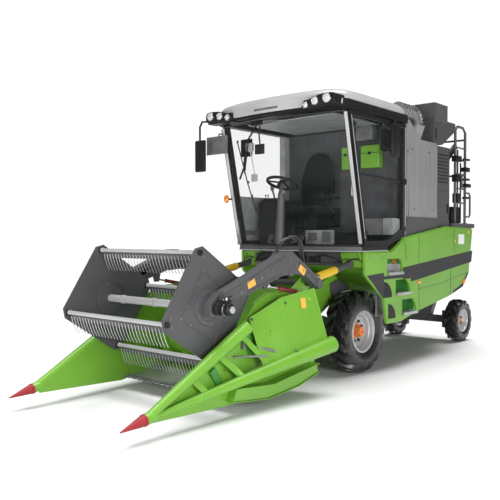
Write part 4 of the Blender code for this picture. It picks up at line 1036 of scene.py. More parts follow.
def roof():
    """A smooth moulded cap in place of the CAD's faceted one, and its hatch."""
    half, front, rear = 0.953, -0.83, 0.68
    middle_y = (front + rear) / 2
    cap = Shape()
    rings = []
    for share, lift in (
        (0.985, 0.0008), (1.0, 0.008), (1.0, 0.040), (0.990, 0.062), (0.95, 0.098), (0.87, 0.126),
        (0.76, 0.146), (0.55, 0.160), (0.25, 0.167),
    ):
        ring = []
        for i in range(96):
            a = 2 * math.pi * i / 96
            u = math.copysign(abs(math.cos(a)) ** 0.28, math.cos(a))
            v = math.copysign(abs(math.sin(a)) ** 0.28, math.sin(a))
            y = (
                middle_y + (rear - middle_y) * v if v > 0
                else middle_y + (middle_y - front) * v - 0.098 * (1 - u * u) * abs(v) ** 3
            )
            ring.append(cap.mesh.verts.new(
                (half * share * u, middle_y + (y - middle_y) * share, 3.0303 + lift)
            ))
        rings.append(ring)
    for a, b in zip(rings, rings[1:]):
        cap.bridge(a, b, True)
    cap.mesh.faces.new(rings[0])
    cap.mesh.faces.new(rings[-1])
    cap = cap.done("roof_cap", "chassis", WHITE, "white_paint", 0, 50)
    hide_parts("cab_roof")
    hatch = Shape()
    hatch.plate(
        [
            (-0.30, -0.25), (0.30, -0.25), (0.32, -0.22), (0.32, 0.22), (0.30, 0.25), (-0.30, 0.25),
            (-0.32, 0.22), (-0.32, -0.22),
        ],
        3.175, 3.199, "Z",
    )
    hatch.done("roof_hatch", "chassis", WHITE, "white_paint", 0.006)


def bow_line(y_side, half, bow, z, steps=28):
    found = []
    for i in range(steps + 1):
        x = half - 2 * half * i / steps
        found.append((x, y_side - bow * (1 - (x / half) ** 2), z))
    return found


LAMPS = ((0.565, 2.968, 0.030), (0.685, 2.998, 0.041), (0.835, 3.008, 0.046))  # x, z, radius


def lamps():
    """Three round work lamps in each corner's black pod, and the white brow between the pods."""
    glow, glasses, bowls, pods = Shape(), Shape(), Shape(), Shape()
    face = -0.945
    for side in (1, -1):
        outline = [
            (0.50, 2.945), (0.52, 2.985), (0.60, 3.030), (0.72, 3.060), (0.84, 3.068), (0.905, 3.060),
            (0.925, 3.020), (0.92, 2.950), (0.86, 2.935), (0.60, 2.930),
        ]
        pods.plate([(side * x, z) for x, z in outline], face - 0.012, -0.75, "Y")
        for x, z, r in LAMPS:
            spot = (side * x, 0, z)
            shell = [
                (0, r + 0.007), (-0.018, r + 0.007), (-0.018, r), (-0.006, r), (0.010, 0.65 * r),
                (0.012, 0.2 * r),
            ]
            bowls.turned(
                [(face - 0.012 + u, v) for u, v in shell] + [
                    (face - 0.012, 0.15 * r), (face - 0.012, r + 0.007),
                ],
                spot, 36, "Y"
            )
            glasses.turned(
                [
                    (face - 0.026, r - 0.001), (face - 0.030, 0.8 * r), (face - 0.033, 0.4 * r),
                    (face - 0.0335, 0.001),
                ],
                spot, 36, "Y",
            )
            glow.ball((side * x, face - 0.016, z), 0.2 * r)
            for turn in range(0, 360, 60):
                end = (
                    side * x + 0.9 * r * math.cos(math.radians(turn)), face - 0.021,
                    z + 0.9 * r * math.sin(math.radians(turn)),
                )
                glow.bar((side * x, face - 0.019, z), end, 0.0022, sides=6)
    pods.done("lamp_pods", "chassis", BLACK, "black_plastic", 0.006)
    bowls.done("lamp_bowls", "chassis", CHROME, "bright_steel", 0.001)
    glasses.done("lamp_glasses", "chassis", LENS, "cab_glass", 0)
    glow.done("lamp_bulbs", "chassis", PLATE, None, 0)
    brow()
    lip = Shape().tube([(x, y, 2.942) for x, y, z in bow_line(-0.806, 0.92, 0.12, 0)], 0.007, 10)
    lip.done("visor_lip", "chassis", BLACK, "black_plastic", 0)


def brow():
    """The roof's white front, which curves down over the visor to just above the windscreen."""
    skin = Shape()
    rings = []
    section = (
        (0.0, 2.962), (-0.012, 2.966), (-0.013, 3.03), (-0.004, 3.062), (0.030, 3.092), (0.100, 3.118),
        (0.100, 3.10), (0.010, 3.05), (0.0, 3.0),
    )
    for x, y, _ in bow_line(-0.812, 0.93, 0.12, 0, 40):
        drop = 0.006 + 0.10 * (abs(x) / 0.93) ** 2
        ring = []
        for u, z in section:
            low = 2.962 + max(0.0, (z - 2.962)) * (1 - 0.45 * (abs(x) / 0.93) ** 3)
            ring.append(skin.mesh.verts.new((x, y + u + 0.2 * drop * (u > 0.02), low)))
        rings.append(ring)
    for a, b in zip(rings, rings[1:]):
        skin.bridge(a, b, True)
    skin.mesh.faces.new(rings[0])
    skin.mesh.faces.new(rings[-1])
    skin.done("roof_brow", "chassis", WHITE, "white_paint", 0.002, 50)
    badge = Shape()
    badge.beam((0.17, -0.9435, 3.005), (-0.17, -0.9435, 3.005), 0.003, 0.026, (0, 0, 1))
    badge.done("blank_front_badge", "chassis", GREY_PLASTIC, None, 0.001)


def pillars():
    """Silver skins on the front pillars, black seals, the sill line and the black band above it."""
    skins, seals = Shape(), Shape()
    for side in (1, -1):
        x = side * 0.888
        low, high = (x, front_edge(1.50) - 0.022, 1.50), (x, front_edge(2.90) - 0.022, 2.90)
        skins.beam(low, high, 0.040, 0.008, (0, -1, 0.2))
        for shift in (-0.024, 0.010):
            seals.beam(
                (x + shift, low[1] + 0.002, low[2]), (x + shift, high[1] + 0.002, high[2]), 0.008, 0.010,
                (0, -1, 0.2),
            )
    for z in (1.482, 2.912):
        seals.tube(
            [(p[0], p[1] - 0.006, z) for p in bow_line(front_edge(z) - 0.014, 0.885, 0.12, z)], 0.009, 8
        )
    skins.done("pillar_skins", "chassis", SILVER, "bright_steel", 0.002)
    seals.done("window_seals", "chassis", HOSE, "black_plastic", 0.001)
    sill = Shape()
    plan = bow_line(-0.386, 0.894, 0.14, 1.42)
    sill.tube(plan, 0.006, 8)
    for side in (1, -1):
        sill.tube([(side * 0.8955, -0.38, 1.42), (side * 0.8955, 0.20, 1.42)], 0.005, 8)
    sill.done("sill_trim", "chassis", SILVER, "bright_steel", 0)
    band = Shape()
    for side in (1, -1):
        band.box(span(side, 0.8955, 0.9005), (-0.36, 0.19), (1.43, 1.475))
    band.done("sill_band", "chassis", BLACK, "black_plastic", 0.002)


def door():
    x0, x1 = 0.931, 0.934
    line = [
        (front_edge(1.53) + 0.05, 1.53), (0.185, 1.53), (0.52, 1.685), (0.52, 2.87),
        (front_edge(2.87) + 0.055, 2.87),
    ]
    seal = Shape().tube([(0.9225, y, z) for y, z in line], 0.007, 8, True)
    seal.done("door_seal", "cab_door", HOSE, "black_plastic", 0)
    strip = Shape()
    strip.beam((0.9315, 0.545, 1.70), (0.9315, 0.545, 2.88), 0.014, 0.003, (1, 0, 0))
    strip.beam(
        (0.9315, front_edge(1.56) + 0.022, 1.56), (0.9315, front_edge(2.87) + 0.022, 2.87), 0.010, 0.003,
        (1, 0, 0),
    )
    strip.done("door_strips", "cab_door", SILVER, "bright_steel", 0.001)
    parts = Shape()
    for z in (1.62, 2.78):
        y = front_edge(z) + 0.018
        parts.box((x0, x1 + 0.008), (y + 0.004, y + 0.06), (z - 0.022, z + 0.022))
        parts.bar((0.941, y + 0.014, z - 0.035), (0.941, y + 0.014, z + 0.035), 0.009)
    parts.box((0.9305, 0.948), (0.455, 0.535), (2.195, 2.265))
    parts.bar((0.948, 0.48, 2.215), (0.960, 0.48, 2.215), 0.013)
    parts.bar((0.908, front_edge(2.27) + 0.06, 2.268), (0.908, 0.25, 2.240), 0.013)
    parts.bar((0.908, 0.25, 2.240), (0.908, 0.50, 2.224), 0.013, 0.024)
    parts.tube(
        curve_through([
            (0.905, 0.48, 2.10), (0.87, 0.47, 2.08), (0.865, 0.46, 1.95),
            (0.87, 0.455, 1.82), (0.905, 0.45, 1.80),
        ]),
        0.010, 10,
    )
    parts.done("door_fittings", "cab_door", BLACK, "black_plastic", 0.002)
    gas = Shape().bar((0.905, 0.05, 2.86), (0.905, 0.30, 2.80), 0.008)
    gas.bar((0.905, 0.30, 2.80), (0.905, 0.44, 2.766), 0.004)
    gas.done("door_strut", "cab_door", CHROME, "bright_steel", 0)


def wiper():
    y_face = 0.016

    def on(x, z):
        y = front_edge(z) - 0.12 * (1 - (x / 0.883) ** 2) - 0.008
        return (x, y - y_face, z)

    arm = Shape()
    for shift in (0.0, 0.022):
        arm.tube([on(-0.24 + shift, 2.89), on(-0.44 + shift, 2.72), on(-0.585 + shift / 2, 2.34)], 0.006, 8)
    arm.box((-0.31, -0.16), (on(-0.24, 2.9)[1] - 0.03, on(-0.24, 2.9)[1] + 0.006), (2.862, 2.915))
    arm.tube([on(-0.63, 2.72), on(-0.60, 2.55), on(-0.545, 2.22), on(-0.47, 1.91)], 0.0075, 8)
    arm.done("wiper_arm", "chassis", BLACK, "black_plastic", 0.002)
    blade = Shape()
    for i in range(6):
        t = i / 5
        x, z = -0.63 + 0.16 * t, 2.72 - 0.81 * t
        p = on(x, z)
        blade.box((p[0] - 0.010, p[0] + 0.010), (p[1] - 0.002, p[1] + 0.014), (z - 0.014, z + 0.014))
    blade.done("wiper_blade", "chassis", HOSE, "black_plastic", 0.002)


def mirror_right_face():
    face = Shape().box((-1.055, -0.925), (-0.9595, -0.9575), (2.38, 2.72))
    face.done("mirror_glass_right", "chassis", CHROME, "bright_steel", 0)
    shell = Shape().box((-1.06, -0.92), (-1.006, -0.999), (2.375, 2.725))
    shell.done("mirror_shell_right", "chassis", BLACK, "black_plastic", 0.003)
    board = Shape().box((-1.06, -0.71), (-0.806, -0.800), (2.58, 2.80))
    board.done("blank_side_plate", "chassis", GREY_PLASTIC, "dark_paint", 0.002)
    stay = Shape().tube([(-0.885, -0.70, 2.84), (-0.88, -0.77, 2.83), (-0.86, -0.803, 2.78)], 0.008, 10)
    stay.tube([(-0.90, -0.50, 2.05), (-0.94, -0.54, 2.05)], 0.012, 10)
    stay.done("side_lamp_stay", "chassis", BLACK, "black_plastic", 0.001)
    lamp = Shape().ball((-0.955, -0.56, 2.05), 0.045, (0.8, 0.6, 1.2))
    lamp.done("side_lamp_right", "chassis", AMBER, "red_paint", 0)


def cab_lining():
    """The rear wall's fittings, the far side's inner panel, the headliner and the floor mat."""
    wall_y = 0.5435
    green = Shape()
    for x0, x1 in ((0.09, 0.22), (0.37, 0.63)):
        green.box((x0, x1), (wall_y - 0.10, wall_y), (2.42, 2.70))
    green.done("first_aid_boxes", "chassis", GREEN, "green_paint", 0.012)
    lids = Shape()
    for x0, x1 in ((0.09, 0.22), (0.37, 0.63)):
        lids.box((x0 - 0.002, x1 + 0.002), (wall_y - 0.103, wall_y - 0.098), (2.60, 2.606))
        lids.box(((x0 + x1) / 2 - 0.02, (x0 + x1) / 2 + 0.02), (wall_y - 0.108, wall_y - 0.10), (2.585, 2.62))
    lids.done("box_lids", "chassis", BLACK, "black_plastic", 0.001)
    wall_plate = Shape()
    wall_plate.box((0.18, 0.29), (wall_y - 0.006, wall_y), (2.10, 2.29))
    wall_plate.done("wall_plate", "chassis", PLATE, None, 0.002)
    grey = Shape()
    grey.box((0.33, 0.56), (0.40, 0.54), (2.76, 2.926))
    grey.box((0.40, 0.745), (0.33, 0.50), (1.60, 1.80))
    for i in range(3):
        grey.box((0.36, 0.53), (0.393, 0.40), (2.79 + 0.04 * i, 2.81 + 0.04 * i))
    grey.done("cab_grey_boxes", "chassis", GREY_PLASTIC, "black_plastic", 0.010)
    pale = Shape()
    pale.box((0.748, 0.885), (0.33, 0.50), (1.60, 1.80))
    pale.box((-0.10, 0.32), (-0.060, -0.045), (1.487, 1.66))
    pale.box((-0.64, 0.62), (-0.52, 0.47), (2.932, 2.950))
    pale.box((-0.885, -0.80), (0.42, 0.535), (1.60, 2.92))
    pale.done("cab_pale_panels", "chassis", PALE_PLASTIC, "light_paint", 0.008)
    inset = Shape()
    inset.box((-0.06, 0.08), (-0.064, -0.059), (1.53, 1.63))
    inset.box((0.15, 0.27), (-0.064, -0.059), (1.51, 1.64))
    inset.done("seat_base_insets", "chassis", GREY_PLASTIC, "black_plastic", 0.004)
    felt = Shape()
    felt.box((-0.835, 0.835), (wall_y - 0.0035, wall_y + 0.0012), (1.63, 2.925))
    felt.done("rear_wall_felt", "chassis", FELT, "black_plastic", 0.001)
    speaker = Shape()
    speaker.box((0.64, 0.83), (wall_y - 0.07, wall_y), (2.62, 2.88))
    speaker.turned(
        [(wall_y - 0.07, 0.078), (wall_y - 0.080, 0.074), (wall_y - 0.074, 0.04), (wall_y - 0.078, 0.01)],
        (0.735, 0, 2.75), 36, "Y",
    )
    speaker.box((-0.20, 0.02), (wall_y - 0.03, wall_y), (1.70, 1.95))
    speaker.done("speaker_panel", "chassis", BLACK, "black_plastic", 0.008)
    ribs = Shape()
    for i in range(7):
        x = -0.74 + 0.25 * i
        ribs.box((x - 0.004, x + 0.004), (wall_y - 0.007, wall_y - 0.0034), (1.65, 2.91))
    ribs.done("wall_ribs", "chassis", FELT, "black_plastic", 0.001)
    inner = Shape()
    inner.box((-0.892, -0.872), (-0.43, 0.28), (1.478, 2.09))
    inner.done("far_inner_panel", "chassis", PALE_PLASTIC, "light_paint", 0.008)
    dark = Shape()
    dark.box((-0.873, -0.866), (-0.05, 0.18), (1.68, 2.03))
    dark.box((-0.873, -0.862), (-0.36, -0.12), (1.60, 1.66))
    dark.done("far_inner_pocket", "chassis", GREY_PLASTIC, "black_plastic", 0.004)
    mat = Shape()
    mat.plate(
        [(0.82, -0.32), (0.45, -0.40), (-0.82, -0.34), (-0.82, -0.17), (0.82, -0.03)], 1.4705, 1.482, "Z",
    )
    for i in range(16):
        mat.box((-0.70 + 0.095 * i, -0.66 + 0.095 * i), (-0.30, -0.17), (1.4815, 1.4865))
    mat.done("floor_mat", "chassis", TYRE, "tyre_rubber", 0.002)


def driver_station():
    x = SEAT_X
    black = Shape()
    black.box((x - 0.545, x - 0.305), (-0.145, 0.49), (2.021, 2.045))
    black.box((x - 0.53, x - 0.32), (-0.10, 0.10), (2.043, 2.07))
    black.box((x + 0.27, x + 0.33), (0.02, 0.34), (2.06, 2.10))
    black.bar((x + 0.30, 0.33, 2.07), (x + 0.30, 0.40, 2.07), 0.02)
    black.box((-0.86, -0.68), (-0.40, -0.375), (2.58, 2.80))
    black.tube([(-0.80, -0.385, 2.60), (-0.84, -0.36, 2.45), (-0.875, -0.40, 2.30)], 0.012, 10)
    black.box((-0.44, -0.30), (-0.62, -0.595), (2.56, 2.68))
    black.tube([(-0.37, -0.60, 2.66), (-0.37, -0.62, 2.80), (-0.37, -0.60, 2.91)], 0.009, 10)
    black.done("consoles_and_screens", "chassis", BLACK, "black_plastic", 0.008)
    lever = Shape()
    lever.tube(
        curve_through([(x - 0.42, 0.0, 2.06), (x - 0.42, -0.02, 2.12), (x - 0.415, -0.05, 2.17)]), 0.012, 12,
    )
    lever.ball((x - 0.413, -0.06, 2.20), 0.032, (0.8, 0.8, 1.3))
    for dx in (-0.50, -0.46, -0.36):
        lever.bar((x + dx, -0.07, 2.06), (x + dx, -0.085, 2.10), 0.006)
        lever.ball((x + dx, -0.087, 2.108), 0.011)
    lever.bar((x - 0.09, -0.30, 1.50), (x - 0.09, -0.27, 1.53), 0.012)
    lever.done("drive_lever", "chassis", GREY_PLASTIC, "black_plastic", 0)
    pedals = Shape()
    for dx in (-0.22, 0.14, 0.24):
        pedals.beam((x + dx, -0.36, 1.50), (x + dx, -0.30, 1.60), 0.075, 0.012)
        pedals.bar((x + dx, -0.33, 1.545), (x + dx, -0.385, 1.50), 0.009)
    pedals.done("pedals", "chassis", GREY_STEEL, "bright_steel", 0.003)
    screens = Shape()
    screens.box((-0.85, -0.69), (-0.374, -0.372), (2.60, 2.78))
    screens.box((-0.43, -0.31), (-0.594, -0.592), (2.575, 2.665))
    screens.done("screen_glasses", "chassis", SCREEN, "cab_glass", 0.001)
    silver = Shape()
    silver.box((-0.60, -0.50), (-0.60, -0.56), (2.61, 2.71))
    silver.box((-0.58, -0.50), (-0.52, -0.49), (2.25, 2.34))
    silver.tube([(-0.55, -0.57, 2.62), (-0.54, -0.53, 2.45), (-0.54, -0.50, 2.33)], 0.007, 10)
    silver.done("cab_devices", "chassis", SILVER, "bright_steel", 0.006)
    bellows = Shape()
    for i in range(7):
        z = 1.62 + 0.02 * i
        bellows.turned([(z, 0.145), (z + 0.010, 0.165), (z + 0.0195, 0.145)], (x, 0.12, 0), 32, "Z")
    bellows.done("seat_bellows", "chassis", TYRE, "tyre_rubber", 0)
    wheel_trim()


def wheel_trim():
    """A smooth grip and horn pad over the CAD's steering wheel."""
    tilt = Matrix.Translation((SEAT_X, -0.372, 2.22)) @ Matrix.Rotation(math.radians(-20), 4, "X")
    grip = Shape()
    grip.tube(
        [
            tilt @ Vector((0.185 * math.cos(math.radians(a)), 0.185 * math.sin(math.radians(a)), 0))
            for a in range(0, 360, 6)
        ],
        0.0185, 12, True
    )
    for a in (90, 210, 330):
        end = tilt @ Vector((0.178 * math.cos(math.radians(a)), 0.178 * math.sin(math.radians(a)), 0))
        grip.beam(tilt @ Vector((0, 0, 0.008)), end, 0.034, 0.012, tilt.to_3x3() @ Vector((0, 0, 1)))
    grip.ball(tilt @ Vector((0, 0, 0.018)), 0.052, (1, 1, 0.5))
    knob = tilt @ Vector((-0.15, 0.11, 0.035))
    grip.ball(knob, 0.022)
    grip.done("wheel_grip", "chassis", BLACK, "black_plastic", 0.002)


def cushion(node):
    """A seat part as cloth over foam: a fine copy of the CAD's block, shrunk a little and then blown up."""
    source = NODES[node]
    mesh = source.data.copy()
    soft = bpy.data.objects.new(f"{node}_cover", mesh)
    bpy.context.scene.collection.objects.link(soft)
    soft.matrix_world = source.matrix_world.copy()
    mesh.materials.clear()
    mesh.materials.append(FABRIC)
    low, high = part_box(node)
    centre = (low + high) / 2
    local = soft.matrix_world.inverted() @ centre
    shape = bmesh.new()
    shape.from_mesh(mesh)
    bmesh.ops.remove_doubles(shape, verts=shape.verts[:], dist=1e-5)
    for vert in shape.verts:
        vert.co = local + (vert.co - local) * SEAT_SHRINK
    shape.to_mesh(mesh)
    shape.free()
    bpy.context.view_layer.objects.active = soft
    for other in bpy.context.selected_objects:
        other.select_set(False)
    soft.select_set(True)
    remesh = soft.modifiers.new("remesh", "REMESH")
    remesh.mode = "VOXEL"
    remesh.voxel_size = SEAT_VOXEL
    bpy.ops.object.modifier_apply(modifier="remesh")
    before = [v.co.copy() for v in soft.data.vertices]
    cloth = soft.modifiers.new("cloth", "CLOTH")
    cloth.settings.use_pressure = True
    cloth.settings.uniform_pressure_force = 4
    cloth.settings.effector_weights.gravity = 0
    cloth.point_cache.frame_start = 1
    cloth.point_cache.frame_end = PUFF_FRAMES
    for number in range(1, PUFF_FRAMES + 1):
        bpy.context.scene.frame_set(number)
    bpy.ops.object.modifier_apply(modifier="cloth")
    bpy.context.scene.frame_set(1)
    for vert, old in zip(soft.data.vertices, before):
        move = vert.co - old
        if move.length > MOST_PUFF:
            vert.co = old + move * (MOST_PUFF / move.length)
    soft.data.shade_smooth()
    fine = soft.modifiers.new("fine", "SUBSURF")
    fine.levels = fine.render_levels = 1
    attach(soft, "chassis")
    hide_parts(node)


def seat():
    cushion("seat_cushion")
    cushion("seat_back")
    x = SEAT_X
    seams = Shape()
    z = 1.9445
    seams.tube([(x - 0.17, -0.07, z), (x - 0.17, 0.27, z)], 0.0035, 8)
    seams.tube([(x + 0.17, -0.07, z), (x + 0.17, 0.27, z)], 0.0035, 8)
    seams.done("seat_seams", "chassis", HOSE, "seat_fabric", 0)
    hinges = Shape()
    hinges.box((x - 0.23, x + 0.23), (0.30, 0.42), (1.86, 1.90))
    for side in (1, -1):
        hinges.bar((x + side * 0.275, 0.36, 1.90), (x + side * 0.285, 0.36, 1.90), 0.04)
        hinges.tube([(x + side * 0.08, 0.475, 2.60), (x + side * 0.08, 0.485, 2.68)], 0.008, 10)
    hinges.done("seat_hinges", "chassis", BLACK, "black_plastic", 0.002)
    belt = Shape()
    belt.beam((x + 0.30, 0.30, 1.86), (x + 0.285, 0.16, 1.98), 0.028, 0.012, (1, 0, 0))
    belt.done("belt_buckle", "chassis", BLACK, "black_plastic", 0.003)


# ------------------------------------------------------------------------------------ body

STEPS = ((0.16, 0.52, 1.13), (0.36, 0.72, 0.88), (0.52, 0.88, 0.635))
SIDE_TOP = ((-0.33, 1.40), (0.26, 1.40), (0.57, 1.555), (1.70, 1.70), (2.59, 1.68))


def body_sides():
    for side, word in SIDES:
        x = side * BODY_SIDE
        film = Shape()
        film.plate(
            [(2.587, 1.38), (2.555, 1.22), (0.735, 1.030), (0.735, 1.073), (0.53, 1.073), (0.53, 1.21)],
            *proud(x, side),
        )
        film.plate([(0.53, 1.127), (0.53, 1.088), (0.085, 1.088), (0.085, 1.127)], *proud(x, side))
        film.plate([
            (0.085, 1.165), (0.085, 0.872), (0.07, 0.872), (-0.185, 1.073), (-0.295, 1.148), (0.04, 1.165),
        ],
                   *proud(x, side))
        corner = [(2.46, 1.06), (2.26, 0.885), (1.95, 0.81), (1.95, 0.84), (2.24, 0.925), (2.42, 1.075)]
        film.plate(corner, *proud(x, side))
        film.done(f"side_stripe_{word}", "chassis", STRIPE, "dark_paint", 0)
        shaded = Shape()
        for y, z, size in ((0.087, 0.875, 0.185), (0.185, 0.625, 0.175)):
            shaded.plate([(y, z)] + arc((y, z), size, 0, 90, 14), *proud(x, side))
        shaded.done(f"step_shades_{word}", "chassis", BLACK, "black_plastic", 0)
        seams = Shape()
        for line in (
            ((0.57, 1.54), (0.63, 1.30)), ((0.945, 1.60), (0.945, 1.245)), ((1.97, 1.69), (1.97, 1.37)),
            ((1.87, 1.165), (1.87, 0.79)), ((0.95, 1.04), (0.95, 0.665)), ((0.89, 0.925), (1.60, 0.97)),
            ((1.60, 0.97), (2.42, 1.075)),
        ):
            (y0, z0), (y1, z1) = line
            seams.beam((x + side * 0.0008, y0, z0), (x + side * 0.0008, y1, z1), 0.0022, 0.0045, (1, 0, 0))
        seams.done(f"panel_gaps_{word}", "chassis", HOSE, None, 0)
        edge = Shape()
        for (y0, z0), (y1, z1) in zip(SIDE_TOP, SIDE_TOP[1:]):
            edge.beam(
                (side * 0.895, y0, z0 + 0.0015), (side * 0.895, y1, z1 + 0.0015), 0.030, 0.005, (1, 0, 0),
            )
        edge.done(f"panel_flange_{word}", "chassis", GREEN, "green_paint", 0.002)
        white = Shape()
        white.box(proud(x, side, 0.003), (2.11, 2.30), (1.475, 1.61))
        white.done(f"blank_white_plate_{word}", "chassis", PLATE, None, 0.004)
        markers = Shape()
        markers.box(proud(x, side), (2.435, 2.485), (1.62, 1.665))
        markers.box(proud(x, side), (1.98, 2.02), (1.50, 1.54))
        markers.done(f"side_labels_{word}", "chassis", LABEL, None, 0)
        lens = Shape()
        lens.box(proud(x, side, 0.012), (0.905, 0.985), (0.995, 1.03))
        lens.turned(
            [(0, 0.035), (side * 0.014, 0.033), (side * 0.020, 0.022), (side * 0.022, 0.001)],
            (x, 2.29, 0.955), 28,
        )
        lens.done(f"side_marker_{word}", "chassis", AMBER, "red_paint", 0.003)
        bolts = Shape()
        for y, z in (
            (1.02, 1.52), (1.90, 1.60), (2.05, 1.44), (2.50, 1.50), (1.00, 0.72), (1.80, 0.82), (1.95, 0.87),
            (2.30, 1.05), (-0.22, 1.34), (0.05, 1.34),
        ):
            bolts.bolt((x, y, z), (side, 0, 0), 0.007, 0.005)
        bolts.done(f"panel_bolts_{word}", "chassis", GREY_STEEL, "bright_steel", 0)


def step_pockets():
    """Treads with pressed teeth, the gussets beside each pocket and the dark quarter at its foot."""
    treads, gussets, quarters, backs = Shape(), Shape(), Shape(), Shape()
    for y0, y1, z in STEPS:
        treads.box((0.775, 0.936), (y0 + 0.01, y1 - 0.01), (z + 0.0305, z + 0.033))
        for i in range(7):
            for j in range(3):
                spot = (0.80 + 0.045 * j, y0 + 0.05 + 0.043 * i, z + 0.0325)
                treads.turned([(0.0, 0.011), (0.006, 0.008), (0.006, 0.004)], spot, 12, "Z")
        treads.box((0.934, 0.940), (y0 + 0.012, y1 - 0.012), (z + 0.006, z + 0.036))
        corner = 0.085 if z > 1 else 0.145
        gussets.plate(
            [(y1 - 0.002, z + 0.188)] + arc((y1 - 0.002 - corner, z + 0.188 - corner), corner, 0, 90, 12),
            0.882, 0.909,
        )
        quarters.plate(
            [(y0 + 0.006, z + 0.036)] + arc((y0 + 0.006, z + 0.036), 0.15, 0, 90, 10), 0.779, 0.783,
        )
        # painted shade: the pocket's back and end walls are drawn in the darker shade green for the shadow
        # inside the recess
        backs.box((0.7725, 0.7765), (y0 + 0.006, y1 - 0.006), (z + 0.034, z + 0.187))
        backs.box((0.7765, 0.879), (y1 - 0.005, y1 - 0.001), (z + 0.034, z + 0.187))
    treads.done("step_treads", "chassis", STEEL, "bright_steel", 0.001)
    gussets.done("step_corners", "chassis", GREEN, "green_paint", 0.001)
    quarters.done("step_quarters", "chassis", DARK, "dark_paint", 0.001)
    y0, y1, z = STEPS[0]
    lining = Shape()
    lining.box((0.7765, 0.7790), (y0 + 0.07, y1 - 0.006), (z + 0.034, z + 0.125))
    lining.box((0.7790, 0.8780), (y1 - 0.0085, y1 - 0.0045), (z + 0.034, z + 0.125))
    lining.done("step_lining", "chassis", SILVER, "light_paint", 0.001)
    lamp = Shape()
    lamp.box((0.780, 0.830), (y1 - 0.0095, y1 - 0.0045), (z + 0.132, z + 0.178))
    lamp.done("step_reflector", "chassis", ORANGE, "red_paint", 0.001)
    # painted shade: the recess walls in shade green
    backs.done("step_backs", "chassis", SHADE_GREEN, "green_paint", 0.001)


def under_cab():
    """Valves, hoses and brackets between the cab floor and the feeder house."""
    block = Shape()
    block.box((-0.18, 0.10), (-0.36, -0.302), (1.26, 1.36))
    block.box((0.16, 0.30), (-0.345, -0.302), (1.28, 1.35))
    for i in range(5):
        block.bar((-0.15 + 0.055 * i, -0.33, 1.36), (-0.15 + 0.055 * i, -0.33, 1.40), 0.015)
    block.box((-0.62, -0.40), (-0.36, -0.302), (1.28, 1.38))
    block.done("valve_block", "chassis", BLACK, "black_plastic", 0.004)
    unions = Shape()
    for i in range(5):
        unions.bar((-0.15 + 0.055 * i, -0.345, 1.262), (-0.15 + 0.055 * i, -0.345, 1.235), 0.011, sides=6)
    for i in range(3):
        unions.bar((0.185 + 0.045 * i, -0.335, 1.281), (0.185 + 0.045 * i, -0.335, 1.255), 0.010, sides=6)
    unions.done("valve_unions", "chassis", STEEL, "bright_steel", 0.001)
    for i in range(5):
        x = -0.15 + 0.055 * i
        line = curve_through([
            (x, -0.345, 1.236), (x, -0.36, 1.17), (x * 1.2, -0.48, 1.10 + 0.012 * i),
            (x * 1.3 + 0.02, -0.72, 1.07 + 0.01 * i),
            (x * 1.3 + 0.03, -0.95, 1.045), (x * 1.5 + 0.05, -1.15, 1.066), (x * 1.6 + 0.05, -1.30, 1.062),
        ], 10)
        hose = Shape().tube(line, 0.0115, 12).done(f"head_hose_{i + 1}", "chassis", HOSE, "black_plastic", 0)
        hose.parent = None
        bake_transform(hose)
    loops = Shape()
    for side in (1, -1):
        loops.tube(
            curve_through([
                (side * 0.26, -0.32, 1.36), (side * 0.38, -0.37, 1.37), (side * 0.55, -0.36, 1.33),
                (side * 0.66, -0.33, 1.30), (side * 0.70, -0.31, 1.31),
            ]),
            0.010, 12,
        )
        loops.tube(
            curve_through([
                (side * 0.20, -0.31, 1.29), (side * 0.45, -0.35, 1.27), (side * 0.78, -0.33, 1.33),
                (side * 0.86, -0.31, 1.30),
            ]),
            0.009, 12,
        )
    loops.done("cab_floor_hoses", "chassis", HOSE, "black_plastic", 0)
    brackets = Shape()
    for side in (1, -1):
        brackets.plate(
            [(-0.301, 1.25), (-0.301, 1.40), (-0.345, 1.40), (-0.325, 1.32)], *span(side, 0.60, 0.612),
        )
        brackets.plate(
            [(-0.301, 1.25), (-0.301, 1.40), (-0.345, 1.40), (-0.325, 1.32)], *span(side, 0.84, 0.852),
        )
        brackets.box(span(side, 0.62, 0.84), (-0.335, -0.301), (1.385, 1.405))
    brackets.done("front_brackets", "chassis", GREEN, "green_paint", 0.002)
    sheet = Shape()
    sheet.box((-0.70, 0.60), (-0.3025, -0.3002), (1.245, 1.405))
    sheet.done("front_closing_sheet", "chassis", DARK, "dark_paint", 0)


def running_gear():
    """Wheel motors, belly tanks and the exhaust under the body."""
    motors = Shape()
    hub_z = 0.47947
    for side in (1, -1):
        motors.turned(
            [
                (side * 0.30, 0.13), (side * 0.36, 0.135), (side * 0.37, 0.105), (side * 0.44, 0.10),
                (side * 0.45, 0.14), (side * 0.475, 0.14),
            ],
            (0, 0, hub_z), 40,
        )
        for i in range(10):
            a = math.radians(36 * i)
            motors.bolt((side * 0.475, 0.125 * math.cos(a), hub_z + 0.125 * math.sin(a)), (side, 0, 0), 0.009)
    motors.done("wheel_motors", "chassis", DARK, "dark_paint", 0.002)
    guard = Shape()
    for side in (1, -1):
        guard.plate(
            [(1.00, 0.99), (1.00, 0.86), (1.70, 0.86), (1.80, 0.95), (1.80, 0.99)], *span(side, 0.42, 0.86),
        )
    guard.done("belly_tanks", "chassis", DARK, "dark_paint", 0.012)
    exhaust = Shape().tube(
        curve_through([(-0.40, 1.60, 0.92), (-0.40, 1.80, 0.83), (-0.42, 2.05, 0.80), (-0.44, 2.20, 0.80)]),
        0.030, 20,
    )
    exhaust.done("exhaust_pipe", "chassis", GREY_STEEL, "bright_steel", 0.001)


# ------------------------------------------------------------------------------------ behind the cab


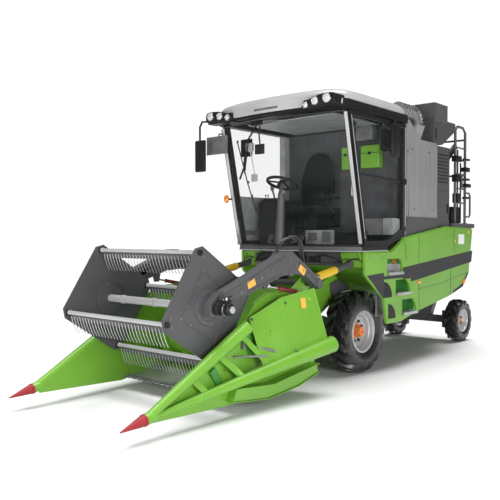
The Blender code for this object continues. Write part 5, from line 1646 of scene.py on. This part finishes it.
def covers():
    for side, word in SIDES:
        x = side * 0.86
        skins = Shape()
        for y0, y1 in ((0.70, 1.10), (1.12, 1.535)):
            skins.box(sorted((x - side * 0.001, x + side * 0.004)), (y0, y1), (1.845, 2.77))
        skins.done(f"cover_skins_{word}", "chassis", LIGHT, "light_paint", 0.003)
        ribs = Shape()
        for y in (0.78, 0.92, 1.06, 1.20, 1.34, 1.47):
            ribs.box(sorted((x + side * 0.003, x + side * 0.008)), (y - 0.010, y + 0.010), (1.90, 2.72))
        ribs.done(f"cover_ribs_{word}", "chassis", LIGHT, "light_paint", 0.003)
        # painted shadow: a dark band between the green side panel and the grey cover skins, standing for the
        # shadow in the gap under the covers
        band = Shape()
        band.plate(
            [(0.695, 1.585), (1.545, 1.690), (1.545, 1.825), (0.695, 1.825)],
            *sorted((x - side * 0.001, x + side * 0.0035)),
        )
        band.done(f"cover_gap_shadow_{word}", "chassis", DARK, "dark_paint", 0.002)
        trim = Shape()
        trim.tube(
            [
                (x + side * 0.004, 0.715, 2.60), (x + side * 0.006, 0.73, 2.64),
                (x + side * 0.006, 0.75, 2.60), (x + side * 0.006, 0.755, 1.80),
                (x + side * 0.004, 0.72, 1.74),
            ],
            0.006, 10,
        )
        for y, z in ((1.40, 1.92), (0.90, 1.92), (1.30, 2.66), (0.84, 2.66)):
            trim.bolt((x + side * 0.004, y, z), (side, 0, 0), 0.010)
        trim.done(f"cover_trim_{word}", "chassis", GREY_STEEL, "bright_steel", 0)
    cabinet()
    duct()
    hopper()
    deck()


def cabinet():
    x = 0.84
    slots, doors = Shape(), Shape()
    doors.box((x - 0.001, x + 0.006), (1.565, 1.955), (2.22, 2.765))
    doors.box((x - 0.001, x + 0.006), (1.565, 1.955), (1.72, 2.19))
    doors.done("cabinet_doors", "chassis", DARK, "dark_paint", 0.003)
    for i in range(9):
        slots.box((x + 0.0055, x + 0.0085), (1.60, 1.90), (2.30 + 0.045 * i, 2.316 + 0.045 * i))
    slots.box((x + 0.0055, x + 0.018), (1.88, 1.91), (1.90, 2.02))
    slots.bar((x + 0.006, 1.94, 2.70), (x + 0.006, 1.94, 2.60), 0.007)
    slots.bar((x + 0.006, 1.94, 1.90), (x + 0.006, 1.94, 1.80), 0.007)
    slots.done("cabinet_louvres", "chassis", BLACK, "black_plastic", 0.001)


def duct():
    rings = Shape()
    x = 0.735
    centre = (1.02, 2.97)
    for i in range(7):
        a = math.radians(88 - 14 * i)
        y, z = centre[0] + 0.17 * math.cos(a), centre[1] + 0.17 * math.sin(a)
        along = Vector((0, math.sin(a), -math.cos(a)))
        spot = Vector((x, y, z))
        rings.bar(spot - along * 0.006, spot + along * 0.006, 0.0995, sides=40)
    for y in (0.72, 0.78, 0.85, 0.92, 0.98):
        rings.bar((x, y - 0.006, 3.14), (x, y + 0.006, 3.14), 0.0995, sides=40)
    rings.bar((x, 1.19, 2.985), (x, 1.19, 3.005), 0.1185, sides=40)
    rings.bar((x, 1.19, 2.802), (x, 1.19, 2.82), 0.075, sides=40)
    rings.done("duct_ribs", "chassis", GREY_STEEL, "light_paint", 0.002)
    chute = Shape()
    chute.beam((0.66, 1.66, 2.82), (0.66, 2.06, 3.06), 0.22, 0.10)
    chute.box((0.862, 0.866), (1.50, 1.52), (2.85, 3.0))
    chute.done("loading_chute", "chassis", BLACK, "black_plastic", 0.004)


def hopper():
    panels = Shape()
    for side in (1, -1):
        panels.plate(
            [(1.50, 2.86), (1.50, 3.075), (1.93, 3.095), (2.09, 3.075), (2.09, 3.04), (1.76, 2.84)],
            *span(side, 0.8495, 0.853),
        )
    panels.plate([(-0.40, 2.86), (0.40, 2.86), (0.40, 2.99), (-0.40, 2.99)], 1.132, 1.1385, "Y")
    panels.done("hopper_panels", "chassis", DARK, "dark_paint", 0.003)
    slats = Shape()
    for i in range(11):
        z = 3.13 + 0.018 * i
        slats.box((0.515, 0.838), (1.4875, 1.4905), (z, z + 0.007))
        slats.box((0.8485, 0.8515), (1.505, 1.865), (z, z + 0.007))
    slats.box((0.495, 0.853), (1.486, 1.884), (3.325, 3.3345))
    slats.box((0.495, 0.853), (1.486, 1.884), (3.104, 3.114))
    slats.done("screen_box_slats", "chassis", GREY_PLASTIC, "black_plastic", 0.001)
    edging = Shape()
    for side in (1, -1):
        edging.beam((side * 0.845, 1.47, 3.116), (side * 0.845, 2.12, 3.122), 0.018, 0.012, (1, 0, 0))
    edging.beam((-0.84, 2.125, 3.117), (0.84, 2.125, 3.117), 0.018, 0.012)
    edging.done("hopper_rim", "chassis", GREY_STEEL, "bright_steel", 0.002)


def deck():
    rails = Shape()
    r = 0.0186
    for side in (1, -1):
        x = side * 0.83
        for y in (2.17, 2.50):
            rails.bar((x, y, 1.80), (x, y, 3.04), r, sides=24)
            rails.turned([(1.7605, 0.038), (1.768, 0.036), (1.772, 0.022)], (x, y, 0), 24, "Z")
        rails.bar((x, 2.25, 3.11), (x, 2.40, 3.11), r, sides=24)
        for z in (2.05, 2.25, 2.65, 2.82):
            rails.bar((x, 2.17, z), (x, 2.50, z), 0.011, sides=20)
    rails.done("deck_rail_tubes", "chassis", DARK, "dark_paint", 0.001)
    tread = Shape()
    tread.box((-0.86, 0.86), (2.14, 2.715), (1.7603, 1.7635))
    for i in range(22):
        for j in range(7):
            x, y = -0.80 + 0.0762 * i, 2.18 + 0.083 * j
            turn = Matrix.Rotation(math.radians(45 if (i + j) % 2 else -45), 3, "Z")
            tread.box((x - 0.018, x + 0.018), (y - 0.004, y + 0.004), (1.7630, 1.7655), turn)
    tread.done("deck_tread_plate", "chassis", GREY_STEEL, "bright_steel", 0)
    tails = Shape()
    for side in (1, -1):
        tails.box(span(side, 0.70, 0.86), (2.729, 2.742), (1.706, 1.752))
    tails.done("tail_lamps", "chassis", RED_LENS, "red_paint", 0.004)
    fittings = Shape()
    for z0, z1, y0, y1 in (
        (2.34, 2.44, 2.14, 2.26), (2.62, 2.70, 2.13, 2.30), (2.05, 2.18, 2.16, 2.28),
        (2.50, 2.56, 2.44, 2.58), (2.28, 2.33, 2.45, 2.62),
    ):
        fittings.box((0.795, 0.872), (y0, y1), (z0, z1))
    fittings.beam((0.80, 1.99, 2.66), (0.80, 2.24, 2.84), 0.05, 0.07)
    fittings.bar((0.80, 2.24, 1.77), (0.80, 2.24, 2.95), 0.014)
    fittings.bar((0.80, 2.32, 1.77), (0.80, 2.32, 2.80), 0.011)
    fittings.bar((0.80, 2.42, 1.77), (0.80, 2.42, 2.62), 0.011)
    for z in (2.12, 2.38, 2.66):
        fittings.bar((0.865, 2.36, z), (0.865, 2.56, z + 0.01), 0.017)
    fittings.done("rail_fittings", "chassis", BLACK, "black_plastic", 0.003)
    links = Shape()
    for i in range(5):
        links.turned(
            [(0.845, 0.026), (0.853, 0.026), (0.853, 0.014), (0.845, 0.014), (0.845, 0.026)],
            (0, 2.36, 2.46 + 0.045 * i - 0.20), 20,
        )
    links.done("rail_chain", "chassis", STEEL, "bright_steel", 0)
    crate = Shape()
    crate.box((0.40, 0.80), (2.14, 2.40), (1.765, 1.98))
    crate.box((0.39, 0.81), (2.13, 2.41), (1.98, 1.995))
    crate.bar((0.46, 2.128, 1.94), (0.46, 2.128, 1.99), 0.008)
    crate.bar((0.74, 2.128, 1.94), (0.74, 2.128, 1.99), 0.008)
    crate.done("deck_box", "chassis", BLACK, "black_plastic", 0.006)


# ------------------------------------------------------------------------------------ build


studio()
kept_nodes()
wheels()
reel()
reel_arms()
head()
roof()
lamps()
pillars()
door()
wiper()
mirror_right_face()
cab_lining()
driver_station()
seat()
body_sides()
step_pockets()
under_cab()
running_gear()
covers()
